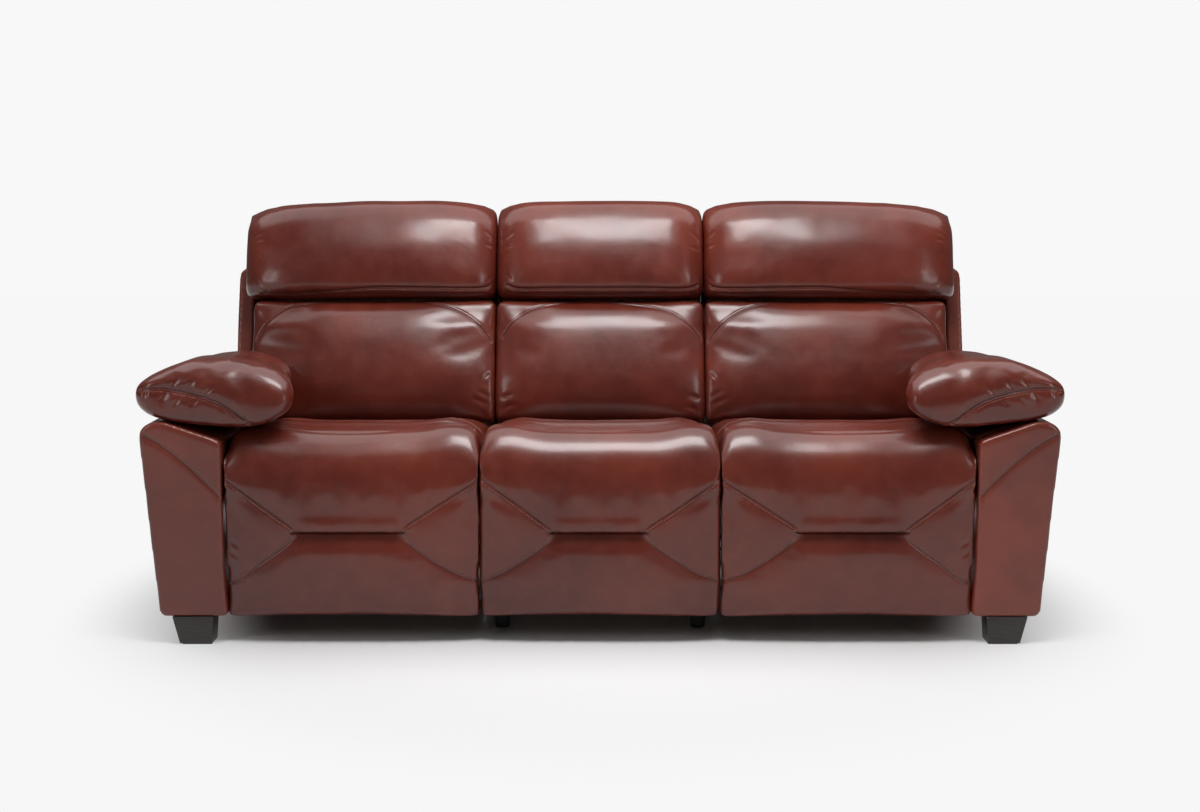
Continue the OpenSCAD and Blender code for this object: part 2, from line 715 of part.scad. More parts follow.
// The head cushion of an end back falls towards its outer end
head_fall = 12;
function head_ring(u, x0, x1) =
    let (
        x = mix(x0, x1, (u + 1) / 2),
        full = pow(pillow_edge(u, 5), 0.6),
        low = lumbar_h + soft_gap,
        fall = x1 + x0 > 0 ? head_fall * ease((u + 0.2) / 1.2) : 0,
        high = lumbar_h + head_h - fall,
        nose = mix(44, -18, full),
        brow = mix(22, 0, full)
    )
    [
        [x, 60, low + 3], [x, nose + 22, low + 3], [x, nose + 8, low + 14], [x, nose, low + 50],
        [x, nose, mix(low, high, 0.5)], [x, nose + 8, high - 70], [x, nose + 28, high - 28 - brow],
        [x, nose + 58, high - 6 - brow], [x, 78, high - brow], [x, cushion_t - 18, high - 10 - brow],
        [x, cushion_t, high - 40 - brow], [x, cushion_t, low + 26], [x, cushion_t - 14, low + 6]
    ];
module head_cushion(x0, x1) {
    steps = 6;
    color(LEATHER) at_back() loft([
        for (i = [-steps:steps])
            let (u = sin(90 * i / steps)) head_ring(u, x0, x1)
    ]);
}

// Release handle: a thin lever in the slot beside the arm, with a finger loop at its top
handle_t = 3;
handle_at = [250, 405];
module release_handle(side) {
    top = [handle_at[0] - 26, roll_top + 22];
    color(STEEL) mirror([side < 0 ? 1 : 0, 0, 0]) {
        side_sheet(seat_edge + 1.2, seat_edge + 1.2 + handle_t) difference() {
            union() {
                bar_outline(handle_at, top, 11);
                translate(top) circle(r = 17, $fn = 40);
            }
            translate(top) circle(r = 10.5, $fn = 40);
        }
        // Spindle through the arm's inner cover and panel
        cross_bar(seat_edge + 1.2, arm_in + arm_wall + wood, handle_at, pin_d);
    }
}

base_rail(base_front_s);  // front_base_rail
base_rail(base_rear_s);  // rear_base_rail
centre_legs();
foot(-1, 0);  // left_front_foot
foot(1, 0);  // right_front_foot
foot(-1, arm_len - foot_d);  // left_rear_foot
foot(1, arm_len - foot_d);  // right_rear_foot
arm_frame(-1);  // left_arm_frame
arm_frame(1);  // right_arm_frame
arm_cover(-1);  // left_arm_cover
arm_cover(1);  // right_arm_cover
arm_pillow(-1);  // left_arm_pillow
arm_pillow(1);  // right_arm_pillow
side_plates(-1);  // left_side_plates
centre_side_plates();
side_plates(1);  // right_side_plates
at_bay(-1) seat_frame(wood_hw);  // left_seat_frame
seat_frame(centre_wood_hw);  // centre_seat_frame
at_bay(1) seat_frame(wood_hw);  // right_seat_frame
at_bay(-1) seat_springs(wood_hw);  // left_seat_springs
seat_springs(centre_wood_hw);  // centre_seat_springs
at_bay(1) seat_springs(wood_hw);  // right_seat_springs
at_bay(-1) seat_cushion(end_hw);  // left_seat_cushion
seat_cushion(centre_hw);  // centre_seat_cushion
at_bay(1) seat_cushion(end_hw);  // right_seat_cushion
at_bay(-1) front_board(board_hw);  // left_footrest_board
front_board(centre_wood_hw);  // centre_front_board
at_bay(1) front_board(board_hw);  // right_footrest_board
at_bay(-1) front_pad(end_hw, roll_hw);  // left_footrest_pad
front_pad(centre_hw, centre_hw);  // centre_front_pad
at_bay(1) front_pad(end_hw, roll_hw);  // right_footrest_pad
footrest_brackets(-1);  // left_footrest_brackets
footrest_brackets(1);  // right_footrest_brackets
drive_links(-1);  // left_drive_links
drive_links(1);  // right_drive_links
front_links(-1);  // left_front_links
front_links(1);  // right_front_links
at_bay(-1) back_frame(wood_hw);  // left_back_frame
back_frame(centre_wood_hw);  // centre_back_frame
at_bay(1) back_frame(wood_hw);  // right_back_frame
at_bay(-1) back_webbing(wood_hw);  // left_back_webbing
back_webbing(centre_wood_hw);  // centre_back_webbing
at_bay(1) back_webbing(wood_hw);  // right_back_webbing
at_bay(-1) back_shell(end_hw, wing_reach);  // left_back_shell
back_shell(centre_hw, 0);  // centre_back_shell
at_bay(1) back_shell(end_hw, wing_reach);  // right_back_shell
back_brackets(-1);  // left_back_brackets
back_brackets(1);  // right_back_brackets
at_bay(-1) lumbar_cushion(end_hw, lumbar_reach);  // left_lumbar_cushion
lumbar_cushion(centre_hw, 0);  // centre_lumbar_cushion
at_bay(1) lumbar_cushion(end_hw, lumbar_reach);  // right_lumbar_cushion
at_bay(-1) head_cushion(-end_hw, end_hw + head_reach);  // left_head_cushion
head_cushion(-centre_hw, centre_hw);  // centre_head_cushion
at_bay(1) head_cushion(-end_hw, end_hw + head_reach);  // right_head_cushion
release_handle(-1);  // left_release_handle
release_handle(1);  // right_release_handle
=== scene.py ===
"""A three-seater leather sofa with reclining ends: its looks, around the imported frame."""

import math

import bmesh
import bpy
import numpy as np
from mathutils import Matrix, Vector, noise
from mathutils.bvhtree import BVHTree


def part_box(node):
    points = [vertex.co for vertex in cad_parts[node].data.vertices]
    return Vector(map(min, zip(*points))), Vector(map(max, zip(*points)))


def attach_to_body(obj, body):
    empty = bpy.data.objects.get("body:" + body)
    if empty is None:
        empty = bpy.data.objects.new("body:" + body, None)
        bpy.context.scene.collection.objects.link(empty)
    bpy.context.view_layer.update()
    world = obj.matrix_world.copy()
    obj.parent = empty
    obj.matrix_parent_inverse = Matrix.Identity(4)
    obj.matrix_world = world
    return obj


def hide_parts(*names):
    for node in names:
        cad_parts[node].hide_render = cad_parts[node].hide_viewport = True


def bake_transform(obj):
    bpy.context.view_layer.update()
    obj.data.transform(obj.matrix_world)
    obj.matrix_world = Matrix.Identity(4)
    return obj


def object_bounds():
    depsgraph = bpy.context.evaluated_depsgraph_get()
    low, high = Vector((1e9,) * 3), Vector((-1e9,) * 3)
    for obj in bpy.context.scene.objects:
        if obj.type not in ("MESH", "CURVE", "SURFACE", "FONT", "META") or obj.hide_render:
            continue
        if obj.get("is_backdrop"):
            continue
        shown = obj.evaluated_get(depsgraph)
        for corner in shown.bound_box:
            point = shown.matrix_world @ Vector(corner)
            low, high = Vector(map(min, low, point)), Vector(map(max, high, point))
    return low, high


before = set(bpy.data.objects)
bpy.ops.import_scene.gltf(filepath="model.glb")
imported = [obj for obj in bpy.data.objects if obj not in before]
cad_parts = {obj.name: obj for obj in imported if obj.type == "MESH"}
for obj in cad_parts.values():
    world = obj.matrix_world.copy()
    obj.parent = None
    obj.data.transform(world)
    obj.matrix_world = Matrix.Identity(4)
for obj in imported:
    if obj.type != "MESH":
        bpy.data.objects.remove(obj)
cad_low, cad_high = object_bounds()

# Places of the part, in metres, as its source gives them
FRONT_Y = -0.477446
END_X = 0.5715
END_HALF = 0.2905
CENTRE_HALF = 0.2755
ROLL_HALF = 0.2755
HINGE_Z = 0.4125
NECK_Z = HINGE_Z - 0.056
SKIRT_Z = 0.065
TOP_CREASE_S = 0.300
# The large oval of a seat's front: its middle and its rise
OVAL_S, OVAL_Z, OVAL_RISE = 0.100, 0.350, 0.140
BACK_Y, BACK_Z = FRONT_Y + 0.560, 0.438
BACK_LEAN = math.radians(17)
SIDES = {"left": -1, "right": 1}
BAYS = {"left": -END_X, "centre": 0.0, "right": END_X}

# The photograph: its size, and the place of the camera that fits it
PHOTO_W, PHOTO_H = 1200, 812
LENS_MM, SENSOR_MM = 50, 36
EYE = Vector((0.0, -4.237, 1.052))
LOOK_DOWN = math.radians(7.5)


# Camera and sight lines


def set_camera():
    data = bpy.data.cameras.new("camera")
    data.lens, data.sensor_width = LENS_MM, SENSOR_MM
    camera = bpy.data.objects.new("camera", data)
    camera.location = EYE
    camera.rotation_euler = (math.pi / 2 - LOOK_DOWN, 0, 0)
    bpy.context.collection.objects.link(camera)
    bpy.context.scene.camera = camera
    bpy.context.view_layer.update()
    return camera


camera = set_camera()


def sight(x, y):
    """Direction from the camera through a point of the photograph."""
    focal = LENS_MM / SENSOR_MM * PHOTO_W
    ray = Vector(((x - PHOTO_W / 2) / focal, (PHOTO_H / 2 - y) / focal, -1))
    return (camera.matrix_world.to_3x3() @ ray).normalized()


# Materials


def add_node(tree, kind, inputs=(), **settings):
    """A new node; each input is linked to a socket or set to a value."""
    made = tree.nodes.new(kind)
    for key, value in settings.items():
        setattr(made, key, value)
    for key, value in dict(inputs).items():
        if isinstance(value, bpy.types.NodeSocket):
            tree.links.new(value, made.inputs[key])
        else:
            made.inputs[key].default_value = value
    return made


def link_to(tree, node, **sources):
    """Links sockets to a node's inputs, whose names have _ for a space."""
    for label, source in sources.items():
        tree.links.new(source, node.inputs[label.replace("_", " ")])


def new_group(name, takes, gives):
    """An empty shader node group: its tree, its input sockets and its output node."""
    tree = bpy.data.node_groups.new(name, "ShaderNodeTree")
    for label, kind, value in takes:
        socket = tree.interface.new_socket(name=label, in_out="INPUT", socket_type=kind)
        if value is not None:
            socket.default_value = value
    for label, kind in gives:
        tree.interface.new_socket(name=label, in_out="OUTPUT", socket_type=kind)
    entry = tree.nodes.new("NodeGroupInput")
    leave = tree.nodes.new("NodeGroupOutput")
    return tree, entry.outputs, leave


def maths(tree, operation, a, b=0.0, c=0.0):
    made = add_node(tree, "ShaderNodeMath", {0: a, 1: b, 2: c}, operation=operation)
    return made.outputs[0]


def tint(tree, share, a, b):
    """A share of colour b over colour a."""
    return add_node(tree, "ShaderNodeMix", {0: share, 6: a, 7: b}, data_type="RGBA").outputs[2]


def noise_at(tree, place, scale, detail, rough=0.55):
    made = add_node(
        tree, "ShaderNodeTexNoise",
        {"Vector": place, "Scale": scale, "Detail": detail, "Roughness": rough},
    )
    return made.outputs["Fac"]


def cells(tree, place, scale, feature):
    return add_node(
        tree, "ShaderNodeTexVoronoi", {"Vector": place, "Scale": scale}, feature=feature
    ).outputs["Distance"]


def ramp(tree, value, low, high):
    """A soft step from 0 to 1 between two values."""
    made = add_node(
        tree, "ShaderNodeMapRange",
        {"Value": value, "From Min": low, "From Max": high},
        interpolation_type="SMOOTHSTEP",
    )
    return made.outputs["Result"]


FLOAT, COLOUR, VECTOR = "NodeSocketFloat", "NodeSocketColor", "NodeSocketVector"
# Colours of rubbed hide, and of the dark along seams: partly dye in the seams, partly painted shade
# in their grooves, the tuck and creases
RUBBED_DYE, SEAM_DYE_AND_SHADE = (0.30, 0.085, 0.055, 1), (0.032, 0.008, 0.006, 1)


def leather_hide():
    """Full-grain hide: pores, fine lines, cloudy dye, polished high places, and dark seams that are
    partly dye and partly painted shade.
    """
    tree, take, leave = new_group(
        "leather_hide",
        [("Place", VECTOR, None), ("Dye", COLOUR, (0.2, 0.05, 0.03, 1)),
         ("Deep Dye", COLOUR, (0.1, 0.02, 0.015, 1)), ("Seam", FLOAT, 0.0),
         ("Pore Size", FLOAT, 0.0014), ("Gloss Loss", FLOAT, 0.34)],
        [("Colour", COLOUR), ("Roughness", FLOAT), ("Height", FLOAT)],
    )
    place = take["Place"]
    cloud = noise_at(tree, place, 3.2, 4.0)
    fine = noise_at(tree, place, 26.0, 5.0, 0.6)
    pores = cells(tree, place, maths(tree, "DIVIDE", 1.0, take["Pore Size"]), "F1")
    lines = cells(tree, place, 190.0, "DISTANCE_TO_EDGE")
    line_cut = maths(tree, "SUBTRACT", 1.0, ramp(tree, lines, 0.0, 0.10))
    patch = ramp(tree, noise_at(tree, place, 9.0, 2.0), 0.48, 0.66)
    dye = tint(tree, ramp(tree, cloud, 0.3, 0.72), take["Deep Dye"], take["Dye"])
    rubbed = maths(tree, "MULTIPLY", ramp(tree, fine, 0.35, 0.8), 0.10)
    worn = tint(tree, rubbed, dye, RUBBED_DYE)
    pitted = maths(tree, "MULTIPLY", ramp(tree, pores, 0.55, 0.85), 0.16)
    pored = tint(tree, pitted, worn, take["Deep Dye"])
    # Darkens the hide by the seam share: partly dye in the seams, partly painted shade in grooves,
    # the tuck and creases
    sewn = tint(tree, maths(tree, "MULTIPLY", take["Seam"], 0.70), pored, SEAM_DYE_AND_SHADE)
    rough = maths(tree, "MULTIPLY_ADD", ramp(tree, fine, 0.3, 0.7), 0.07, take["Gloss Loss"])
    rough = maths(tree, "MULTIPLY_ADD", take["Seam"], 0.2, rough)
    grain = maths(tree, "MULTIPLY", pores, -0.00008)
    grain = maths(tree, "MULTIPLY_ADD", maths(tree, "MULTIPLY", line_cut, patch), -0.00006, grain)
    grain = maths(tree, "MULTIPLY_ADD", fine, 0.0008, grain)
    link_to(tree, leave, Colour=sewn, Roughness=rough, Height=grain)
    return tree


def edge_wear():
    """Rubbed and dusty places: a mask that breaks up along a hard surface."""
    tree, take, leave = new_group(
        "edge_wear",
        [("Place", VECTOR, None), ("Spread", FLOAT, 0.5), ("Size", FLOAT, 60.0)],
        [("Mask", FLOAT), ("Height", FLOAT)],
    )
    broken = noise_at(tree, take["Place"], take["Size"], 6.0, 0.65)
    low = maths(tree, "SUBTRACT", 1.0, take["Spread"])
    mask = ramp(tree, broken, low, maths(tree, "ADD", low, 0.2))
    link_to(tree, leave, Mask=mask, Height=maths(tree, "MULTIPLY", broken, 0.0002))
    return tree


def timber_grain():
    """Growth rings and long pores of sawn timber, along x."""
    tree, take, leave = new_group(
        "timber_grain",
        [("Place", VECTOR, None), ("Ring", FLOAT, 90.0)],
        [("Rings", FLOAT), ("Pores", FLOAT), ("Height", FLOAT)],
    )
    stretched = add_node(
        tree, "ShaderNodeMapping", {"Vector": take["Place"], "Scale": (0.08, 1.0, 1.0)}
    ).outputs["Vector"]
    rings = add_node(
        tree, "ShaderNodeTexWave",
        {"Vector": stretched, "Scale": take["Ring"], "Distortion": 7.0, "Detail": 3.0,
         "Detail Scale": 1.4},
        bands_direction="DIAGONAL",
    ).outputs["Fac"]
    pores = ramp(tree, noise_at(tree, stretched, 900.0, 2.0), 0.55, 0.7)
    height = maths(tree, "MULTIPLY_ADD", pores, -0.0002, maths(tree, "MULTIPLY", rings, 0.0001))
    link_to(tree, leave, Rings=rings, Pores=pores, Height=height)
    return tree


def cloth_weave():
    """Over and under of a woven band, on object coordinates."""
    tree, take, leave = new_group(
        "cloth_weave",
        [("Place", VECTOR, None), ("Threads", FLOAT, 420.0)],
        [("Thread", FLOAT), ("Height", FLOAT)],
    )
    waves = [
        add_node(
            tree, "ShaderNodeTexWave",
            {"Vector": take["Place"], "Scale": take["Threads"], "Distortion": 0.4},
            bands_direction=way,
        ).outputs["Fac"]
        for way in ("X", "Z")
    ]
    crossed = maths(tree, "MULTIPLY", waves[0], waves[1])
    link_to(tree, leave, Thread=crossed, Height=maths(tree, "MULTIPLY", crossed, 0.0006))
    return tree


HIDE, WEAR, TIMBER, WEAVE = leather_hide(), edge_wear(), timber_grain(), cloth_weave()


def new_material(name, **shader):
    material = bpy.data.materials.new(name)
    material.use_nodes = True
    tree = material.node_tree
    surface = tree.nodes["Principled BSDF"]
    for label, value in shader.items():
        surface.inputs[label.replace("_", " ")].default_value = value
    place = add_node(tree, "ShaderNodeTexCoord").outputs["Object"]
    return material, tree, surface, place


def use_group(tree, group, inputs):
    return add_node(tree, "ShaderNodeGroup", inputs, node_tree=group).outputs


def link_surface(tree, surface, height, **sources):
    """Links a surface's inputs, and its height as a bump."""
    bump = add_node(tree, "ShaderNodeBump", {"Height": height, "Strength": 1.0, "Distance": 1.0})
    link_to(tree, surface, Normal=bump.outputs["Normal"], **sources)


def leather(name, dye, deep, gloss_loss):
    material, tree, surface, place = new_material(
        name, Coat_Weight=0.62, Coat_Roughness=0.19, IOR=1.34
    )
    # The seam share: dye along the seams, and painted shade in their grooves, the tuck and creases
    seam = add_node(tree, "ShaderNodeAttribute", attribute_name="seam_dye_and_shade").outputs["Fac"]
    hide = use_group(tree, HIDE, {
        "Place": place, "Dye": (*dye, 1), "Deep Dye": (*deep, 1), "Seam": seam,
        "Gloss Loss": gloss_loss,
    })
    link_surface(
        tree, surface, hide["Height"], Base_Color=hide["Colour"], Roughness=hide["Roughness"])
    return material


def timber(name, light, dark, roughness, ring=90.0, polish=0.0):
    material, tree, surface, place = new_material(name, Coat_Weight=polish, Coat_Roughness=0.3)
    grain = use_group(tree, TIMBER, {"Place": place, "Ring": ring})
    wear = use_group(tree, WEAR, {"Place": place, "Spread": 0.42})
    colour = tint(tree, grain["Rings"], (*light, 1), (*dark, 1))
    colour = tint(tree, maths(tree, "MULTIPLY", grain["Pores"], 0.5), colour, (*dark, 1))
    rough = maths(tree, "MULTIPLY_ADD", wear["Mask"], 0.12, roughness)
    link_surface(tree, surface, grain["Height"], Base_Color=colour, Roughness=rough)
    return material


def metal(name, colour, worn, roughness, metallic):
    material, tree, surface, place = new_material(name, Metallic=metallic)
    wear = use_group(tree, WEAR, {"Place": place, "Spread": 0.45, "Size": 140.0})
    shade = tint(tree, maths(tree, "MULTIPLY", wear["Mask"], 0.6), (*colour, 1), (*worn, 1))
    rough = maths(tree, "MULTIPLY_ADD", wear["Mask"], 0.15, roughness)
    link_surface(tree, surface, wear["Height"], Base_Color=shade, Roughness=rough)
    return material


def woven(name, colour, dark):
    material, tree, surface, place = new_material(name, Roughness=0.85)
    weave = use_group(tree, WEAVE, {"Place": place})
    shade = tint(tree, weave["Thread"], (*dark, 1), (*colour, 1))
    link_surface(tree, surface, weave["Height"], Base_Color=shade)
    return material


LEATHER = leather("leather_soft", (0.152, 0.0235, 0.0115), (0.084, 0.0115, 0.0066), 0.30)
PANEL_LEATHER = leather("leather_panel", (0.218, 0.039, 0.0205), (0.126, 0.0215, 0.0128), 0.35)
THREAD = woven("sewing_thread", (0.50, 0.27, 0.21), (0.30, 0.13, 0.10))
HARDWOOD = timber("beech_frame", (0.62, 0.42, 0.24), (0.45, 0.27, 0.14), 0.55)
PLYWOOD = timber("birch_ply", (0.66, 0.50, 0.31), (0.52, 0.36, 0.2), 0.6, 240.0)
FOOT_WOOD = timber(
    "stained_foot", (0.030, 0.021, 0.022), (0.018, 0.012, 0.012), 0.38, 70.0, 0.15)
BLACK_STEEL = metal("black_powder_coat", (0.022, 0.022, 0.024), (0.06, 0.06, 0.062), 0.48, 0.0)
ZINC = metal("zinc_plate", (0.52, 0.53, 0.55), (0.40, 0.40, 0.42), 0.33, 1.0)
SPRING = metal("spring_wire", (0.25, 0.25, 0.27), (0.16, 0.13, 0.11), 0.3, 1.0)
GLIDE = metal("glide_rubber", (0.02, 0.02, 0.02), (0.035, 0.035, 0.035), 0.7, 0.0)
WEBBING = woven("elastic_webbing", (0.30, 0.28, 0.23), (0.14, 0.13, 0.11))


# Building helpers


def copy_of(name):
    """A copy of a CAD node, to build a cover on."""
    bm = bmesh.new()
    bm.from_mesh(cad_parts[name].data)
    bmesh.ops.remove_doubles(bm, verts=bm.verts, dist=2e-5)
    return bm


def cut_at(bm, place, way, clear_outer=False):
    """Cuts the mesh along a plane, and drops what is beyond it if asked."""
    return bmesh.ops.bisect_plane(
        bm, geom=bm.verts[:] + bm.edges[:] + bm.faces[:], dist=1e-5,
        plane_co=place, plane_no=way, clear_outer=clear_outer)


def new_piece(name, bm, material):
    mesh = bpy.data.meshes.new(name)
    bm.to_mesh(mesh)
    bm.free()
    piece = bpy.data.objects.new(name, mesh)
    bpy.context.collection.objects.link(piece)
    mesh.materials.append(material)
    mesh.shade_smooth()
    return piece


def settle(piece):
    """Applies the piece's modifiers."""
    bpy.context.view_layer.update()
    seen = piece.evaluated_get(bpy.context.evaluated_depsgraph_get())
    mesh = bpy.data.meshes.new_from_object(seen)
    materials = list(piece.data.materials)
    piece.modifiers.clear()
    old, piece.data = piece.data, mesh
    mesh.name = old.name
    bpy.data.meshes.remove(old)
    mesh.materials.clear()
    for material in materials:
        mesh.materials.append(material)
    mesh.shade_smooth()


def even_skin(piece, size, rounds):
    """An even grid of quads over the piece, with its edges rounded by smoothing."""
    remesh = piece.modifiers.new("skin", "REMESH")
    remesh.mode, remesh.voxel_size, remesh.use_smooth_shade = "VOXEL", size, True
    settle(piece)
    smooth_out(piece, rounds)


def smooth_out(piece, rounds):
    bm = bmesh.new()
    bm.from_mesh(piece.data)
    for _ in range(rounds):
        bmesh.ops.smooth_vert(
            bm, verts=bm.verts, factor=0.5, use_axis_x=True, use_axis_y=True, use_axis_z=True
        )
    bm.to_mesh(piece.data)
    bm.free()


def read_points(mesh):
    points = np.empty(len(mesh.vertices) * 3, np.float32)
    mesh.vertices.foreach_get("co", points)
    return points.reshape(-1, 3).astype(float)


def write_points(piece, points):
    piece.data.vertices.foreach_set("co", points.astype(np.float32).ravel())
    piece.data.update()


def read_normals(piece):
    normals = np.empty(len(piece.data.vertices) * 3, np.float32)
    piece.data.vertex_normals.foreach_get("vector", normals)
    return normals.reshape(-1, 3).astype(float)


def clamp(t):
    return max(0.0, min(1.0, t))


def ease(t):
    """A soft step from 0 to 1."""
    t = np.clip(t, 0, 1)
    return t * t * (3 - 2 * t)


def surface_of(piece):
    bm = bmesh.new()
    bm.from_mesh(piece.data)
    tree = BVHTree.FromBMesh(bm)
    bm.free()
    return tree


def smooth_line(points, step):
    """Points a step apart on a smooth curve through the given ones."""
    points = [np.array(p, float) for p in points]
    ends = [2 * points[0] - points[1], *points, 2 * points[-1] - points[-2]]
    line = []
    for a, b, c, d in zip(ends, ends[1:], ends[2:], ends[3:]):
        count = max(2, int(np.linalg.norm(c - b) / step))
        for k in range(count):
            t = k / count
            line.append(
                0.5 * (2 * b + (c - a) * t + (2 * a - 5 * b + 4 * c - d) * t ** 2
                       + (3 * b - a - 3 * c + d) * t ** 3)
            )
    line.append(points[-1])
    return line


def seen_line(tree, pixels, mirrored=False, step=0.6):
    """A line of the photograph, on the surface that the sight lines meet."""
    found = []
    for x, y in smooth_line(pixels, step):
        hit = tree.ray_cast(EYE, sight(PHOTO_W - x if mirrored else x, y))[0]
        if hit is not None:
            found.append(hit)
    return np.array(found)


# A distance beyond everything here
FAR = 9.0


def distance_to(line, points, reach):
    """Distance of each point to the line, up to reach, and the share of the line's length there."""
    far = np.full(len(points), FAR)
    share = np.zeros(len(points))
    near = np.flatnonzero(
        np.all((points > line.min(0) - reach) & (points < line.max(0) + reach), axis=1)
    )
    for start in range(0, len(near), 4000):
        rows = near[start:start + 4000]
        gap = np.linalg.norm(points[rows, None, :] - line[None, :, :], axis=2)
        best = gap.argmin(1)
        far[rows] = gap[np.arange(len(rows)), best]
        share[rows] = best / max(1, len(line) - 1)
    return far, share


def finer_near(piece, lines, reach, size):
    """Splits the edges longer than size that lie near the lines."""
    bm = bmesh.new()
    bm.from_mesh(piece.data)
    for _ in range(3):
        bm.edges.ensure_lookup_table()
        ends = np.array([(*e.verts[0].co, *e.verts[1].co) for e in bm.edges])
        middle = (ends[:, :3] + ends[:, 3:]) / 2
        length = np.linalg.norm(ends[:, :3] - ends[:, 3:], axis=1)
        close = np.full(len(middle), FAR)
        for line in lines:
            close = np.minimum(close, distance_to(line[::3], middle, reach)[0])
        picked = np.flatnonzero((close < reach) & (length > size))
        if not len(picked):
            break
        bmesh.ops.subdivide_edges(
            bm, edges=[bm.edges[i] for i in picked], cuts=1, use_grid_fill=True
        )
    bmesh.ops.triangulate(bm, faces=[f for f in bm.faces if len(f.verts) > 4])
    bm.to_mesh(piece.data)
    bm.free()


def subdivide(piece):
    finer = piece.modifiers.new("finer", "SUBSURF")
    finer.levels = finer.render_levels = 1
    settle(piece)


class Skin:
    """The points of a finished piece while seams and folds are pressed into it."""

    def __init__(self, piece):
        self.piece = piece
        self.points = read_points(piece.data)
        self.normals = read_normals(piece)
        self.moved = np.zeros(len(self.points))
        # Share of darkening for the material: partly dye along seams, partly painted shade in
        # grooves and creases
        self.seam = np.zeros(len(self.points))
        self.tree = surface_of(piece)

    def press(self, line, bands, taper=0.0, dark=0.0):
        """Presses a groove: each band is a width and a depth, and negative depths raise; dark
        paints shade into the groove.
        """
        if len(line) < 2:
            return
        reach = max(width for width, _ in bands) * 2.6
        far, share = distance_to(line, self.points, reach)
        fade = np.ones(len(far))
        if taper:
            fade = ease(share / taper) * ease((1 - share) / taper)
        for width, depth in bands:
            self.moved -= depth * fade * np.exp(-((far / width) ** 2))
        if dark:
            width = bands[0][0] * 0.9
            self.seam = np.maximum(self.seam, dark * fade * np.exp(-((far / width) ** 2)))

    def beside(self, line, offset):
        """The line moved sideways over the surface."""
        steps = np.gradient(line, axis=0)
        found = []
        for point, step in zip(line, steps):
            normal = self.tree.find_nearest(Vector(point))[1]
            aside = normal.cross(Vector(step)).normalized()
            found.append(self.tree.find_nearest(Vector(point) + aside * offset)[0])
        return np.array(found)

    def ripple(self, size, height, seed):
        """Slow unevenness of leather over foam."""
        shift = Vector((seed * 7.31, seed * 3.17, seed * 5.77))
        wave = np.array([noise.noise(Vector(p) / size + shift) for p in self.points])
        self.moved += height * wave

    def finish(self):
        write_points(self.piece, self.points + self.normals * self.moved[:, None])
        # The darkening goes to the material: dye along the seams, painted shade in their grooves
        # and creases
        mark = self.piece.data.attributes.new("seam_dye_and_shade", "FLOAT", "POINT")
        mark.data.foreach_set("value", self.seam.astype(np.float32))


# A stitch: its distance to the next one, its length and its thickness
PITCH, STITCH, THICK = 0.0058, 0.0042, 0.00085


def sew(threads, tree, line):
    """A row of stitches along a line, laid on the surface."""
    lengths = np.concatenate([[0], np.cumsum(np.linalg.norm(np.diff(line, axis=0), axis=1))])
    for at in np.arange(PITCH, lengths[-1] - PITCH / 2, PITCH):
        k = min(int(np.searchsorted(lengths, at)), len(line) - 2)
        along = Vector(line[min(k + 2, len(line) - 1)] - line[max(k - 2, 0)]).normalized()
        place, normal, _, _ = tree.find_nearest(Vector(line[k]))
        aside = normal.cross(along).normalized()
        turn = Matrix((along, aside, normal)).transposed().to_4x4()
        size = Matrix.Diagonal((STITCH / 2, THICK, THICK * 0.8, 1))
        bmesh.ops.create_icosphere(
            threads, subdivisions=1, radius=1.0,
            matrix=Matrix.Translation(place) @ turn @ size,
        )


# Stuffed pieces

CLOTH_STEPS = 20
stuffed = []


def stuff(piece, grow, cap, hold, limits, pressure):
    """Notes a piece for the cloth run: grow is the looseness of its hide, hold its fixed points."""
    stuffed.append((piece, grow, cap, hold, limits, pressure))


def run_cloth():
    """One run for all stuffed pieces, then the capped result goes into each mesh."""
    starts = {}
    for piece, grow, _, hold, _, pressure in stuffed:
        starts[piece.name] = read_points(piece.data)
        cloth = piece.modifiers.new("stuffing", "CLOTH")
        rules = cloth.settings
        rules.quality = 4
        rules.mass = 0.4
        rules.use_pressure = True
        rules.uniform_pressure_force = pressure
        rules.shrink_min = -grow
        rules.tension_stiffness = rules.compression_stiffness = 18
        rules.shear_stiffness = 8
        rules.bending_stiffness = 4
        rules.effector_weights.gravity = 0
        cloth.collision_settings.use_collision = False
        cloth.point_cache.frame_start, cloth.point_cache.frame_end = 1, CLOTH_STEPS
        group = piece.vertex_groups.new(name="held")
        for weight in (0.25, 0.5, 0.75, 1.0):
            rows = np.flatnonzero(np.abs(hold - weight) <= 0.125)
            if len(rows):
                group.add(rows.tolist(), weight, "REPLACE")
        rules.vertex_group_mass = "held"
    for step in range(1, CLOTH_STEPS + 1):
        bpy.context.scene.frame_set(step)
    graph = bpy.context.evaluated_depsgraph_get()
    results = {}
    for piece, *_ in stuffed:
        results[piece.name] = read_points(piece.evaluated_get(graph).to_mesh())
    for piece, _, cap, _, limits, _ in stuffed:
        start, end = starts[piece.name], results[piece.name]
        move = end - start
        length = np.linalg.norm(move, axis=1, keepdims=True)
        # Long moves are squeezed softly, so the cap leaves no flat places
        points = start + move * (cap * np.tanh(length / cap) / np.maximum(length, 1e-9))
        points = np.clip(points, limits[0], limits[1])
        piece.modifiers.clear()
        piece.vertex_groups.clear()
        write_points(piece, points)
    bpy.context.scene.frame_set(1)


def node_limits(node, margin):
    low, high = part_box(node)
    margin = np.array(margin)
    return np.array(low) - margin, np.array(high) + margin


def back_place(x, y, z):
    """A place in a back's own leaning frame: x across, y through, z up the back."""
    c, s = math.cos(BACK_LEAN), math.sin(BACK_LEAN)
    return np.array([x, BACK_Y + y * c + z * s, BACK_Z - y * s + z * c])


